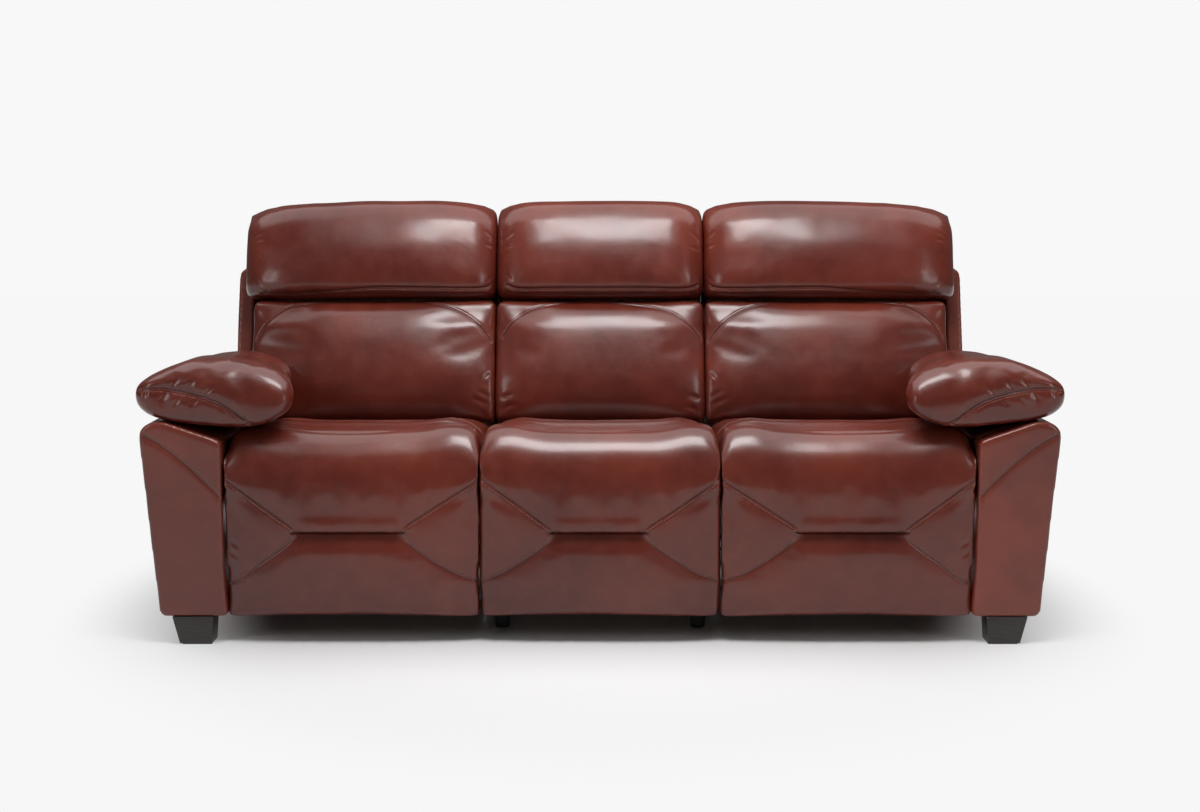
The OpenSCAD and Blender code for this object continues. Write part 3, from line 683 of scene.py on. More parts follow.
# Lines of the photograph, in its pixels
ARCH = {
    "end": [(255, 344), (266, 326), (284, 311), (305, 304), (355, 301.6), (409, 301.6), (444, 306),
            (469, 317), (484, 331), (493, 345)],
    "centre": [(501, 340), (512, 324), (527, 313), (549, 305), (578, 302), (607, 302.5), (637, 305),
               (663, 310), (681, 319), (695, 332), (703, 343)],
}
FRONT_SEAMS = {
    "end": {
        "tuck": [(303, 532), (330, 532.5), (365, 532.5), (394, 532)],
        "up_out": [(303, 532), (292, 528), (262, 507), (232, 485), (223, 479)],
        "up_in": [(394, 532), (404, 527), (440, 504), (470, 485), (480, 478)],
        "down_out": [(303, 532), (281, 550), (258, 566), (242, 579), (225, 585)],
        "down_in": [(394, 532), (408, 545), (432, 562), (456, 575), (479, 582)],
    },
    "centre": {
        "tuck": [(560, 532), (585, 532.5), (612, 532.5), (637, 532)],
        "up_out": [(560, 532), (549, 528), (520, 507), (492, 487), (481, 478)],
        "up_in": [(637, 532), (649, 527), (680, 507), (709, 487), (721, 478)],
        "down_out": [(560, 532), (546, 546), (525, 561), (503, 574), (481, 582)],
        "down_in": [(637, 532), (652, 546), (674, 561), (696, 574), (721, 582)],
    },
}
HEAD_FOLDS = {
    "end": [[(252, 241), (258, 235), (264, 232)], [(253, 243), (259, 240), (266, 239)],
            [(254, 257), (260, 255), (266, 256)], [(256, 279), (261, 284), (268, 287)],
            [(497, 241), (491, 236), (484, 229)], [(497, 248), (490, 246), (483, 243)],
            [(496, 273), (491, 277), (486, 283)]],
    "centre": [[(503, 241), (509, 236), (516, 229)], [(503, 248), (510, 246), (517, 243)],
               [(504, 273), (509, 277), (514, 283)], [(701, 241), (695, 236), (688, 229)],
               [(701, 250), (694, 248), (687, 246)], [(700, 275), (695, 279), (689, 284)]],
}
HEAD_HEM = {
    "end": [(258.6, 293.5), (292, 293.5), (337, 290.5), (378, 287.5), (426, 287.9), (480, 288),
            (492, 284)],
    "centre": [(505, 284), (520, 288.5), (560, 288), (603, 288), (645, 288), (685, 288.5),
               (699, 284)],
}
LUMBAR_FOLDS = {
    "end": [[(492, 406), (482, 402), (468, 396)], [(492, 399), (484, 394), (475, 389)],
            [(489, 419), (480, 412), (470, 407)], [(493, 372), (487, 375), (481, 381)]],
    "centre": [[(702, 400), (694, 397), (684, 395)], [(701, 413), (692, 408), (680, 406)],
               [(499, 398), (507, 396), (517, 393)], [(500, 412), (509, 406), (520, 404)]],
}
SEAT_CREASE = {
    "end": [[(268, 425.5), (276, 427), (300, 429.6), (330, 431.4), (380, 431.4), (410, 430.4)],
            [(462, 423.6), (470, 424.6), (475, 426.6)]],
    "centre": [[(506, 424.5), (516, 426), (540, 429), (580, 430.4), (630, 430.4), (662, 429)],
               [(684, 425), (692, 424.5), (697, 426.5)]],
}
FRONT_FOLDS = [[(224, 538), (232, 542), (243, 550)], [(225, 545), (231, 552), (240, 560)],
               [(226, 553), (230, 560), (234, 566)]]
PILLOW_SEAM = [(133, 389), (156, 388), (174.5, 390), (193, 394), (211, 400), (223, 406),
               (235, 414), (247, 423), (251, 426)]
PILLOW_FOLDS = [[(169, 389), (174, 383), (181, 377)], [(202, 397), (208, 391), (216, 384)],
                [(168, 392), (164, 397), (160, 402)], [(199, 399), (194, 403), (188, 407)],
                [(239, 417), (236, 412), (231, 407)], [(232, 414), (224, 419), (214, 422)],
                [(144, 389), (145, 394), (144, 400)], [(184, 391), (190, 385), (195, 379)],
                [(246, 422), (243, 417), (240, 411)], [(181, 396), (176, 402), (172, 408)]]
ARM_DIAGONAL = [(141, 435), (155.5, 443), (171.5, 454), (190.6, 470), (206.5, 485), (221, 500)]
ARM_TOP = [(149, 420), (170, 422), (190, 426), (210, 432), (228, 440)]


# Grid sizes of the cushions' and covers' skins
CUSHION_GRID, COVER_GRID = 0.008, 0.006
# What a cushion is drawn out by, and the room its hide has at a bay's sides
CUSHION_WIDEN, SIDE_ROOM = 0.003, 0.0024


def widened(bm, bay, more=CUSHION_WIDEN):
    """Draws a bay's copy out sideways, for what the rounding takes away."""
    for v in bm.verts:
        v.co.x += more * (v.co.x - BAYS[bay]) / half_of(bay)
    return bm


def bay_kind(bay):
    return "centre" if bay == "centre" else "end"


def front_node(bay):
    return "centre_front_pad" if bay == "centre" else f"{bay}_footrest_pad"


def half_of(bay):
    return CENTRE_HALF if bay == "centre" else END_HALF


def crowned(bay, x):
    """Rise of a seat's top at x: full towards the sides, then round over the edge."""
    aside = abs(x - BAYS[bay])
    outer = bay != "centre" and (x - BAYS[bay]) * BAYS[bay] > 0
    radius = 0.050 if outer else 0.030
    t = clamp((aside - half_of(bay) + radius) / radius)
    puff = 0.012 * math.exp(-(((aside - half_of(bay) + 0.065) / 0.060) ** 2))
    return puff - (0.62 if outer else 0.7) * radius * (1 - math.sqrt(1 - t * t))


# The seat cushion's top under the front cover, with its dip and where that starts
UNDER_Z, UNDER_DIP, DIP_S, DIP_SPAN = 0.428, 0.012, 0.15, 0.03
# From where a seat's tail is drawn out to the rear, by how much, and its ends at the brackets
TAIL_Y, TAIL_MORE, TAIL_END, TAIL_EASE = 0.065, 0.018, 0.040, 0.020


def make_seat(bay):
    """The seat's cushion, kept low in front, where the front cover lies over it."""
    bm = copy_of(f"{bay}_seat_cushion")
    for s in (TOP_CREASE_S - 0.004, TOP_CREASE_S + 0.004):
        cut_at(bm, (0, FRONT_Y + s, 0), (0, 1, 0))
    for v in bm.verts:
        s = v.co.y - FRONT_Y
        if s < TOP_CREASE_S and v.co.z > 0.41:
            v.co.z = min(v.co.z, UNDER_Z - UNDER_DIP * clamp((DIP_S - s) / DIP_SPAN))
        elif v.co.z > 0.43:
            v.co.z += crowned(bay, v.co.x)
        # The cushion's tail hides the frame's rear rail, clear of the brackets at its sides
        if v.co.y > TAIL_Y:
            aside = abs(v.co.x - BAYS[bay])
            v.co.y += TAIL_MORE * (1 - ease((aside - half_of(bay) + TAIL_END) / TAIL_EASE))
    piece = new_piece(f"{bay}_seat_body", bm, LEATHER)
    even_skin(piece, CUSHION_GRID, 3)
    return piece


def swell_at(u, z):
    """How far the front face stands back from the sofa's front: full in the middle of each half."""
    v = (z - SKIRT_Z) / (HINGE_Z - SKIRT_Z)
    full = max(0.0, 1 - max(0.0, 1 - v / 0.45) ** 4)
    return 0.008 + 0.005 * u ** 10 - 0.008 * (1 - u ** 6) * full


def make_front(bay):
    """One cover from the seat's crease, over the roll and down the front pad."""
    pad = copy_of(front_node(bay))
    middle = BAYS[bay]
    widen = END_HALF / ROLL_HALF if bay != "centre" else 1.0
    for v in pad.verts:
        s, z = v.co.y - FRONT_Y, v.co.z
        if z > NECK_Z + 0.001:
            v.co.x = middle + (v.co.x - middle) * widen
        # The seams are sewn in later, so the face starts without its grooves
        if s < 0.034 and SKIRT_Z + 0.010 < z < HINGE_Z - 0.010:
            v.co.y = FRONT_Y + swell_at(abs(v.co.x - middle) / half_of(bay), z)
        if z < SKIRT_Z + 0.015:
            v.co.z -= 0.008
    widened(pad, bay)
    pad_mesh = bpy.data.meshes.new("pad")
    pad.to_mesh(pad_mesh)
    pad.free()
    bm = copy_of(f"{bay}_seat_cushion")
    cut_at(bm, (0, FRONT_Y + TOP_CREASE_S, 0), (0, 1, 0), clear_outer=True)
    bmesh.ops.holes_fill(bm, edges=[e for e in bm.edges if e.is_boundary], sides=0)
    widened(bm, bay)
    for v in bm.verts:
        if v.co.z > 0.434:
            v.co.z += crowned(bay, v.co.x)
        v.co.z = max(v.co.z, 0.432)
        if v.co.y < FRONT_Y + 0.09:
            v.co.y -= 0.004
    bm.from_mesh(pad_mesh)
    bpy.data.meshes.remove(pad_mesh)
    piece = new_piece(f"{bay}_front_cover", bm, LEATHER)
    even_skin(piece, CUSHION_GRID, 0)
    # A full front: the hide falls from the seat's crest to the panel in one large oval
    points, normals = read_points(piece.data), read_normals(piece)
    edge = np.array([crowned(bay, x) for x in points[:, 0]])
    off = points - (0, FRONT_Y + OVAL_S, OVAL_Z)
    ratio = np.hypot(off[:, 1] / OVAL_S, off[:, 2] / OVAL_RISE)
    facing = normals[:, 1] * off[:, 1] + normals[:, 2] * off[:, 2]
    facing = facing / np.hypot(off[:, 1], off[:, 2])
    oval = (off[:, 1] < 0) & (off[:, 2] > 0) & (facing > 0.3) & (ratio > 0.6)
    points[oval, 1] = FRONT_Y + OVAL_S + (off[:, 1] / ratio)[oval]
    points[oval, 2] = OVAL_Z + (off[:, 2] / ratio * (1 + edge / OVAL_RISE))[oval]
    crest = (off[:, 1] >= 0) & (off[:, 1] < 0.06) & (normals[:, 2] > 0.3)
    points[crest, 2] = np.maximum(points[crest, 2], (OVAL_Z + OVAL_RISE - 0.002 + edge)[crest])
    write_points(piece, points)
    smooth_out(piece, 4)
    return piece


def seat_lines(tree, bay):
    """The crossed seams of a front, as lines on its surface."""
    mirrored = bay == "right"
    return {name: seen_line(tree, pixels, mirrored)
            for name, pixels in FRONT_SEAMS[bay_kind(bay)].items()}


def held_near(points, lines, reach):
    held = np.zeros(len(points))
    for line in lines:
        if len(line) > 1:
            far, _ = distance_to(line, points, reach)
            held = np.maximum(held, ease(1.3 - far / reach))
    return held


pieces = {}
for bay in BAYS:
    pieces[bay, "seat"] = make_seat(bay)
    front = pieces[bay, "front"] = make_front(bay)
    lines = seat_lines(surface_of(front), bay)
    points = read_points(front.data)
    hold = held_near(points, lines.values(), 0.012)
    hold = np.maximum(hold, ease((points[:, 2] - 0.36) / 0.05))
    low, high = node_limits(front_node(bay), (0.0025, 0.012, 0.004))
    reach = half_of(bay) + SIDE_ROOM
    low[0], high[0] = BAYS[bay] - reach, BAYS[bay] + reach
    # It may hang below its pad, and nothing limits it upwards or to the rear
    low[2], high[1:] = 0.055, FAR
    stuff(front, 0.002, 0.006, hold, (low, high), 1.6)

for bay in BAYS:
    mirrored = bay == "right"
    bm = widened(copy_of(f"{bay}_head_cushion"), bay)
    top = max(v.co.z for v in bm.verts)
    for v in bm.verts:
        v.co.z += 0.005 * ease((v.co.z - top + 0.060) / 0.040)
    head = pieces[bay, "head"] = new_piece(f"{bay}_head_pillow", bm, LEATHER)
    even_skin(head, CUSHION_GRID, 6)
    hem = seen_line(surface_of(head), HEAD_HEM[bay_kind(bay)], mirrored)
    points = read_points(head.data)
    hold = np.maximum(held_near(points, [hem], 0.014), ease((points[:, 2] - top + 0.040) / 0.025))
    stuff(head, 0.0005, 0.008, hold,
          node_limits(f"{bay}_head_cushion", (SIDE_ROOM, 0.012, 0.012)), 3.0)
    lumbar = pieces[bay, "lumbar"] = new_piece(
        f"{bay}_lumbar_pillow", widened(copy_of(f"{bay}_lumbar_cushion"), bay), LEATHER)
    even_skin(lumbar, CUSHION_GRID, 4)
    arch = seen_line(surface_of(lumbar), ARCH[bay_kind(bay)], mirrored)
    stuff(lumbar, 0.0, 0.0045, held_near(read_points(lumbar.data), [arch], 0.010),
          node_limits(f"{bay}_lumbar_cushion", (SIDE_ROOM, 0.012, 0.008)), 1.0)


TIP_Z = 0.592
# Height of the pillow's front seam at its distance from the sofa's middle
SEAM_X = (0.796, 0.832, 0.887, 0.971, 1.065)
SEAM_Z = (0.511, 0.538, 0.570, 0.594, 0.596)


def make_pillow(side):
    """The arm's roll, drawn to a tip along its outer seam and rounded down to its front seam."""
    low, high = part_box(f"{side}_arm_pillow")
    bm = copy_of(f"{side}_arm_pillow")
    for v in bm.verts:
        inward = v.co.x - low.x if side == "left" else high.x - v.co.x
        if v.co.z > TIP_Z:
            flat = np.interp(inward, (0, 0.016, 0.038, 0.072, 0.129, 0.185),
                             (0.30, 0.40, 0.56, 0.70, 0.93, 1.0))
            v.co.z = TIP_Z + (v.co.z - TIP_Z) * flat
        v.co.x -= SIDES[side] * 0.010 * clamp((inward - 0.25) / 0.1)
        base = np.interp(abs(v.co.x), SEAM_X, SEAM_Z)
        if v.co.z > base:
            d = clamp((v.co.y - low.y) / 0.095)
            v.co.z = base + (v.co.z - base) * (0.45 + 0.55 * math.sqrt(1 - (1 - d) ** 2))
    return new_piece(f"{side}_arm_pillow_cover", bm, LEATHER)


for side in SIDES:
    pillow = pieces[side, "pillow"] = make_pillow(side)
    even_skin(pillow, CUSHION_GRID, 3)
    points = read_points(pillow.data)
    stuff(pillow, 0.002, 0.006, ease((0.545 - points[:, 2]) / 0.03),
          node_limits(f"{side}_arm_pillow", (0.012, 0.006, 0.006)), 4.0)

# Rounds of smoothing that soften the hard creases the cloth leaves in each kind of piece
CALM = {"front": 1, "head": 5, "lumbar": 6, "pillow": 5}

run_cloth()
for (_, kind), piece in pieces.items():
    if kind in CALM:
        smooth_out(piece, CALM[kind])


# Seams, folds and stitches

# Widths and depths pressed for a seam and for its row of stitches, and the gap between the two
SEAM_BANDS = [(0.0018, 0.0021), (0.0065, 0.0011)]
ROW_BANDS = [(0.0016, 0.0008)]
ROW_GAP = 0.0065
# Taper of a seam's ends, and the darkening of a seam and its stitch row: partly dye, partly painted
# shade in the grooves
SEAM_ENDS, SEAM_DARK, ROW_DARK = 0.02, 0.75, 0.3


def fine_skin(piece, lines):
    """The piece's skin, with a finer grid near its seams."""
    finer_near(piece, lines, 0.012, 0.004)
    subdivide(piece)
    return Skin(piece)


def press_seam(skin, line, bands, aside):
    """Presses a seam and the row beside it, and gives that row for its stitches."""
    # The seam and its row get their dark: dye and painted shade in the grooves
    skin.press(line, bands, SEAM_ENDS, SEAM_DARK)
    row = skin.beside(line, aside)
    skin.press(row, ROW_BANDS, SEAM_ENDS, ROW_DARK)
    return row


def press_folds(skin, folds, mirrored, width, depth):
    """Short creases in the hide, each between two soft ridges."""
    for pixels in folds:
        line = seen_line(skin.tree, pixels, mirrored)
        skin.press(line, [(width, depth), (width * 2.4, -0.5 * depth)], 0.45)


def dress(piece, mirrored, seam, bands, aside, folds, crease, ripple):
    """Presses a cushion's seam, folds and ripples, and gives the row for its stitches."""
    skin = fine_skin(piece, [seen_line(surface_of(piece), seam, mirrored)])
    line = seen_line(skin.tree, seam, mirrored)
    row = press_seam(skin, line, bands, -aside if mirrored else aside)
    press_folds(skin, folds, mirrored, *crease)
    skin.ripple(*ripple)
    skin.finish()
    return row


def finish_piece(piece, bodies, nodes, span=None):
    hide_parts(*nodes)
    attach(piece, bodies, span)


def attach(piece, bodies, span=None):
    if span is None:
        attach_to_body(piece, bodies)
    else:
        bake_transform(piece)


def thread_piece(name, threads, bodies, span=None):
    piece = new_piece(name, threads, THREAD)
    attach(piece, bodies, span)


# How far each part of the tuck moves, and over what height
TUCK_OVER, TUCK_BACK, TUCK_CREASE = (0.0045, 0.020), (0.0105, 0.030), (0.0090, 0.0042)


def fold_tuck(skin, line):
    """The front's middle tuck: the upper part hangs over a crease, the lower stands back, and the
    crease gets painted shade.
    """
    left, right = line[:, 0].min(), line[:, 0].max()
    x, z = skin.points[:, 0], skin.points[:, 2]
    rise = z - line[:, 2].mean()
    outside = np.maximum(0, np.maximum(left - x, x - right))
    fade = np.exp(-((outside / 0.022) ** 2)) * (skin.points[:, 1] < FRONT_Y + 0.04)
    over, under = rise >= 0, rise < 0
    forward = TUCK_OVER[0] * np.exp(-(((rise - 0.012) / TUCK_OVER[1]) ** 2)) * over
    back = TUCK_BACK[0] * np.exp(-((rise / TUCK_BACK[1]) ** 2)) * under
    crease = TUCK_CREASE[0] * np.exp(-((rise / TUCK_CREASE[1]) ** 2))
    skin.points[:, 1] += fade * (back + crease - forward)
    skin.points[:, 2] -= fade * 0.0035 * np.exp(-(((rise - 0.004) / 0.009) ** 2)) * over
    # Painted shade in the tuck's crease, under the part that hangs over it
    skin.seam = np.maximum(skin.seam, 0.95 * fade * np.exp(-((rise / 0.0035) ** 2)))


for bay in BAYS:
    mirrored = bay == "right"
    seat, front = pieces[bay, "seat"], pieces[bay, "front"]
    subdivide(seat)
    skin = Skin(seat)
    skin.ripple(0.10, 0.0016, 3)
    skin.finish()
    finish_piece(seat, "base", [f"{bay}_seat_cushion"])

    lines = seat_lines(surface_of(front), bay)
    skin = fine_skin(front, list(lines.values()))
    lines = seat_lines(skin.tree, bay)
    threads = bmesh.new()
    fold_tuck(skin, lines["tuck"])
    rows = []
    for name, line in lines.items():
        if name != "tuck":
            inside = ("up" in name) == (("out" in name) != mirrored)
            rows.append(press_seam(skin, line, SEAM_BANDS, ROW_GAP if inside else -ROW_GAP))
    press_folds(skin, FRONT_FOLDS, mirrored, 0.006, 0.0028)
    for pixels in SEAT_CREASE[bay_kind(bay)]:
        crease = seen_line(skin.tree, pixels, mirrored)
        # The crease gets painted shade as well as its groove
        skin.press(crease, [(0.0030, 0.0026), (0.010, 0.0022)], 0.3, 0.35)
    skin.ripple(0.12, 0.0018, 1 + BAYS[bay])
    skin.finish()
    tree = surface_of(front)
    for row in rows:
        sew(threads, tree, row)
    span = None
    bodies = "base"
    if bay != "centre":
        span = ((BAYS[bay], FRONT_Y + 0.130, 0.432), (BAYS[bay], FRONT_Y + 0.058, 0.336))
        bodies = ("base", f"{bay}_footrest")
    finish_piece(front, bodies, [front_node(bay)], span=span)
    thread_piece(f"{bay}_front_stitches", threads, bodies, span)

for bay in BAYS:
    mirrored = bay == "right"
    body = "base" if bay == "centre" else f"{bay}_back"
    kind = bay_kind(bay)
    head, lumbar = pieces[bay, "head"], pieces[bay, "lumbar"]
    hem_row = dress(head, mirrored, HEAD_HEM[kind], SEAM_BANDS, -0.006,
                    HEAD_FOLDS[kind], (0.005, 0.0020), (0.11, 0.0020, 5 + BAYS[bay]))
    finish_piece(head, body, [f"{bay}_head_cushion"])
    arch_row = dress(lumbar, mirrored, ARCH[kind], SEAM_BANDS, ROW_GAP,
                     LUMBAR_FOLDS[kind], (0.007, 0.0032), (0.12, 0.0020, 9 + BAYS[bay]))
    threads = bmesh.new()
    sew(threads, surface_of(lumbar), arch_row)
    sew(threads, surface_of(head), hem_row)
    finish_piece(lumbar, body, [f"{bay}_lumbar_cushion"])
    thread_piece(f"{bay}_back_stitches", threads, body)

for side in SIDES:
    pillow = pieces[side, "pillow"]
    row = dress(pillow, side == "right", PILLOW_SEAM, [(0.0022, 0.0030), (0.012, 0.0040)],
                -ROW_GAP, PILLOW_FOLDS, (0.006, 0.0036), (0.12, 0.0022, 12 + SIDES[side]))
    threads = bmesh.new()
    sew(threads, surface_of(pillow), row)
    finish_piece(pillow, "base", [f"{side}_arm_pillow"])
    thread_piece(f"{side}_pillow_stitches", threads, "base")


# Arms and back covers


# The slope at the rear of an arm's top: its start before the rear and under the top, and its run
SLOPE_BEFORE, SLOPE_UNDER, SLOPE_RUN, SLOPE_DROP = 0.160, 0.022, 0.161, 0.080
# Height of the long seam on an arm's side
SIDE_SEAM_Z = 0.478


def make_arm(side):
    """The arm's outline, taken from the front of its CAD cover and drawn out to the rear."""
    node = f"{side}_arm_cover"
    low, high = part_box(node)
    bm = copy_of(node)
    away = [v for v in bm.verts if v.co.y > low.y + 1e-4]
    bmesh.ops.delete(bm, geom=away, context="VERTS")
    bmesh.ops.dissolve_limit(
        bm, angle_limit=0.02, verts=bm.verts, edges=bm.edges, use_dissolve_boundaries=False)
    drawn = bmesh.ops.extrude_face_region(bm, geom=bm.faces[:])
    new = [v for v in drawn["geom"] if isinstance(v, bmesh.types.BMVert)]
    bmesh.ops.translate(bm, verts=new, vec=(0, high.y - low.y, 0))
    bmesh.ops.recalc_face_normals(bm, faces=bm.faces)
    slope = Vector((0, SLOPE_DROP, SLOPE_RUN)).normalized()
    start = (0, high.y - SLOPE_BEFORE, high.z - SLOPE_UNDER)
    cut = cut_at(bm, start, slope, clear_outer=True)
    edges = [e for e in cut["geom_cut"] if isinstance(e, bmesh.types.BMEdge)]
    bmesh.ops.contextual_create(bm, geom=edges)
    piece = new_piece(f"{side}_arm_leather", bm, PANEL_LEATHER)
    even_skin(piece, COVER_GRID, 3)
    return piece


def met_line(tree, points, way):
    """A line on the surface, met by rays in one direction from the given points."""
    found = []
    for point in smooth_line(points, 0.0015):
        hit = tree.ray_cast(Vector(point), Vector(way))[0]
        if hit is not None:
            found.append(hit)
    return np.array(found)


def sew_seams(skin, threads, lines, bands, aside):
    """Presses the seams, finishes the skin and sews a row of stitches beside each seam."""
    rows = [press_seam(skin, line, bands, aside) for line in lines if len(line) > 3]
    skin.finish()
    tree = surface_of(skin.piece)
    for row in rows:
        sew(threads, tree, row)


for side in SIDES:
    mirrored = side == "right"
    arm = make_arm(side)
    tree = surface_of(arm)
    low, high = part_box(f"{side}_arm_cover")
    out = SIDES[side] * 2
    back = high.y - 0.030
    away = (-1, 0, 0) if out > 0 else (1, 0, 0)
    front_lines = [seen_line(tree, pixels, mirrored) for pixels in (ARM_DIAGONAL, ARM_TOP)]
    side_lines = [
        met_line(tree, [(out, low.y + 0.012, SIDE_SEAM_Z), (out, 0, SIDE_SEAM_Z),
                        (out, back - 0.13, SIDE_SEAM_Z), (out, back, 0.420)], away),
        met_line(tree, [(out, back, 0.410), (out, back, 0.25), (out, back, 0.09)], away),
    ]
    finer_near(arm, front_lines + side_lines, 0.010, 0.0022)
    skin = Skin(arm)
    skin.ripple(0.16, 0.0014, 15 + SIDES[side])
    threads = bmesh.new()
    sew_seams(skin, threads, front_lines + side_lines, [(0.0020, 0.0022), (0.009, 0.0015)],
              -0.006 if mirrored else 0.006)
    finish_piece(arm, "base", [f"{side}_arm_cover"])
    thread_piece(f"{side}_arm_stitches", threads, "base")


# A frame sleeve's section: place through the back and rise over the wood
SLEEVE = [(0.1315, 0.0), (0.1315, 0.002), (0.148, 0.0035), (0.166, 0.002), (0.166, 0.0)]
SLEEVE_FOOT, SLEEVE_TOP, SLEEVE_ROUND = 0.070, 0.574, 0.014


def make_sleeve(bay):
    """Leather round the top and sides of a back's frame, between its cushions and rear cover."""
    low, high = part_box(f"{bay}_back_frame")
    half, level = (high.x - low.x) / 2 + 0.0005, SLEEVE_TOP - SLEEVE_ROUND
    path = [(half, SLEEVE_FOOT, 1.0, 0.0)]
    for turn in range(7):
        c, s = math.cos(turn * math.pi / 12), math.sin(turn * math.pi / 12)
        path.append((half + SLEEVE_ROUND * (c - 1), level + SLEEVE_ROUND * s, c, s))
    path += [(-x, z, -c, s) for x, z, c, s in reversed(path)]
    bm = bmesh.new()
    rings = [[bm.verts.new(back_place(BAYS[bay] + x + c * rise, y, z + s * rise))
              for y, rise in SLEEVE] for x, z, c, s in path]
    for a, b in zip(rings, rings[1:]):
        for i in range(len(SLEEVE)):
            j = (i + 1) % len(SLEEVE)
            bm.faces.new((a[i], a[j], b[j], b[i]))
    bm.faces.new(rings[0])
    bm.faces.new(rings[-1])
    bmesh.ops.recalc_face_normals(bm, faces=bm.faces)
    return new_piece(f"{bay}_back_sleeve", bm, PANEL_LEATHER)


WING_ROW = [(243, 262), (241.5, 290), (240, 320), (238.5, 348)]


# What a rear cover is drawn out by: less in the middle, which the two ends pass as they recline
COVER_WIDEN = {"centre": 0.0015, "end": 0.0025}


def make_back_cover(bay):
    bm = widened(copy_of(f"{bay}_back_shell"), bay, COVER_WIDEN[bay_kind(bay)])
    if bay != "centre":
        for v in bm.verts:
            if abs(v.co.x) > END_X + END_HALF + 0.010 and v.co.z > 0.80:
                v.co.z -= 0.010
    piece = new_piece(f"{bay}_back_cover", bm, PANEL_LEATHER)
    even_skin(piece, COVER_GRID, 1)
    return piece


for bay in BAYS:
    body = "base" if bay == "centre" else f"{bay}_back"
    mirrored = bay == "right"
    shell = make_back_cover(bay)
    low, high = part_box(f"{bay}_back_shell")
    tree = surface_of(shell)
    near, top, foot = half_of(bay) - 0.024, high.z - 0.050, low.z + 0.045
    left, right, middle = BAYS[bay] - near, BAYS[bay] + near, BAYS[bay]
    rear = high.y + 1
    ways = [[(left, rear, foot), (left, rear, top)], [(right, rear, foot), (right, rear, top)],
            [(left, rear, top), (middle, rear, top), (right, rear, top)],
            [(left, rear, foot), (middle, rear, foot), (right, rear, foot)]]
    lines = [met_line(tree, way, (0, -1, 0)) for way in ways]
    finer_near(shell, lines, 0.010, 0.0035)
    skin = Skin(shell)
    skin.ripple(0.15, 0.0014, 18 + BAYS[bay])
    threads = bmesh.new()
    sew_seams(skin, threads, lines, [(0.0022, 0.0022), (0.010, 0.0020)], 0.006)
    if bay != "centre":
        sew(threads, surface_of(shell), seen_line(surface_of(shell), WING_ROW, mirrored))
    finish_piece(shell, body, [f"{bay}_back_shell"])
    thread_piece(f"{bay}_cover_stitches", threads, body)
    sleeve = make_sleeve(bay)
    attach(sleeve, body)


# Hard pieces


def make_foot(side, end):
    node = f"{side}_{end}_foot"
    bm = copy_of(node)
    bmesh.ops.dissolve_limit(bm, angle_limit=0.03, verts=bm.verts, edges=bm.edges)
    edges = [e for e in bm.edges if len(e.link_faces) == 2 and e.calc_face_angle() > 0.5]
    bmesh.ops.bevel(
        bm, geom=edges, offset=0.0022, segments=3, profile=0.5, affect="EDGES",
        material=-1, clamp_overlap=True,
    )
    piece = new_piece(f"{side}_{end}_tapered_foot", bm, FOOT_WOOD)
    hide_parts(node)
    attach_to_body(piece, "base")


for side in SIDES:
    for end in ("front", "rear"):
        make_foot(side, end)

FINISHES = {
    "frame": HARDWOOD, "board": PLYWOOD, "rail": BLACK_STEEL, "legs": GLIDE,
    "plates": BLACK_STEEL, "brackets": ZINC, "drive_links": BLACK_STEEL, "front_links": ZINC,
    "springs": SPRING, "webbing": WEBBING, "handle": BLACK_STEEL,
}
for name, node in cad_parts.items():
    for ending, material in FINISHES.items():
        if name.endswith(ending):
            node.data.materials.clear()
            node.data.materials.append(material)


# Studio


def add_lamp(name, place, target, size, power):
    data = bpy.data.lights.new(name, "AREA")
    data.shape, data.size, data.size_y = "RECTANGLE", *size
    data.energy = power
    lamp = bpy.data.objects.new(name, data)
    lamp.location = place
    lamp.rotation_euler = (Vector(target) - Vector(place)).to_track_quat("-Z", "Y").to_euler()
    bpy.context.collection.objects.link(lamp)


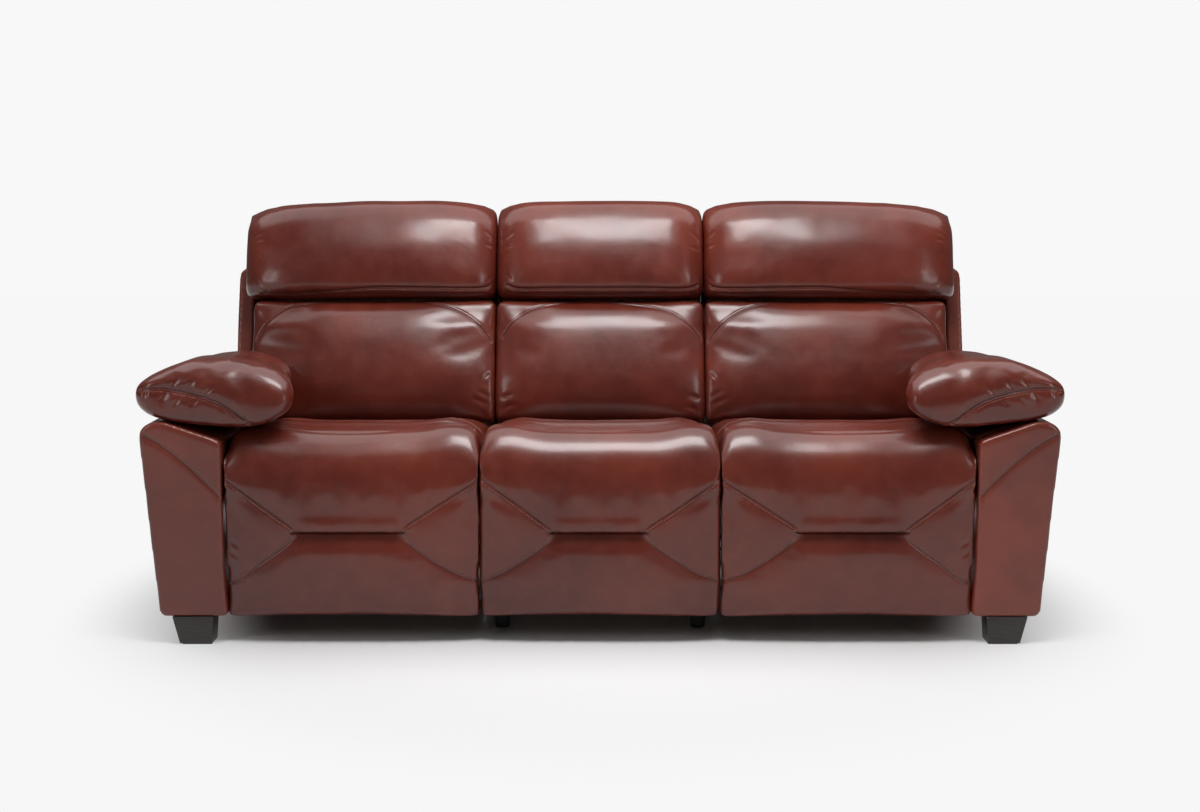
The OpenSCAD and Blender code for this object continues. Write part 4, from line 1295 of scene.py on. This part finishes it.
add_lamp("key_softbox", (0.1, -1.05, 2.7), (0.05, 0.0, 0.7), (1.4, 0.85), 50)
add_lamp("wide_softbox", (0.1, -1.1, 2.75), (0.05, 0.0, 0.7), (2.8, 1.5), 9)
add_lamp("roof_softbox", (0, 0.45, 3.4), (0, 0.3, 0), (7.0, 2.2), 88)
add_lamp("left_softbox", (-2.5, -1.9, 1.4), (-0.6, 0, 0.6), (0.5, 1.2), 8)
add_lamp("right_softbox", (2.5, -1.9, 1.4), (0.6, 0, 0.6), (0.5, 1.2), 8)

world = bpy.data.worlds.new("studio")
bpy.context.scene.world = world
world.use_nodes = True
tree = world.node_tree
backdrop = tree.nodes["Background"]
path = add_node(tree, "ShaderNodeLightPath")
strength = maths(tree, "MULTIPLY_ADD", path.outputs["Is Camera Ray"], 0.88, 0.06)
strength = maths(tree, "MULTIPLY_ADD", path.outputs["Is Glossy Ray"], 0.06, strength)
link_to(tree, backdrop, Strength=strength)
backdrop.inputs["Color"].default_value = (1.0, 1.0, 1.0, 1)


def make_floor():
    """A pale floor that ends in the background's white."""
    material, tree, surface, place = new_material(
        "studio_floor", Roughness=0.6, Base_Color=(0.80, 0.80, 0.80, 1))
    glow = add_node(tree, "ShaderNodeEmission", {"Color": (0.93, 0.93, 0.93, 1), "Strength": 1.0})
    oval = add_node(tree, "ShaderNodeMapping", {"Vector": place, "Scale": (1.15, 1.1, 1.0)})
    distance = add_node(
        tree, "ShaderNodeVectorMath", {0: oval.outputs[0]}, operation="LENGTH").outputs["Value"]
    far = ramp(tree, distance, 0.95, 1.6)
    path = add_node(tree, "ShaderNodeLightPath").outputs
    seen = maths(tree, "ADD", path["Is Camera Ray"], path["Is Glossy Ray"])
    share = maths(tree, "MULTIPLY", far, seen)
    mixed = add_node(
        tree, "ShaderNodeMixShader", {0: share, 1: surface.outputs[0], 2: glow.outputs[0]})
    link_to(tree, tree.nodes["Material Output"], Surface=mixed.outputs[0])
    bm = bmesh.new()
    bmesh.ops.create_grid(bm, x_segments=8, y_segments=8, size=12)
    floor = new_piece("studio_floor", bm, material)
    floor.location.z = cad_low.z
    floor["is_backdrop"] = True


make_floor()
bpy.context.scene.view_settings.view_transform = "Standard"

low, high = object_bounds()
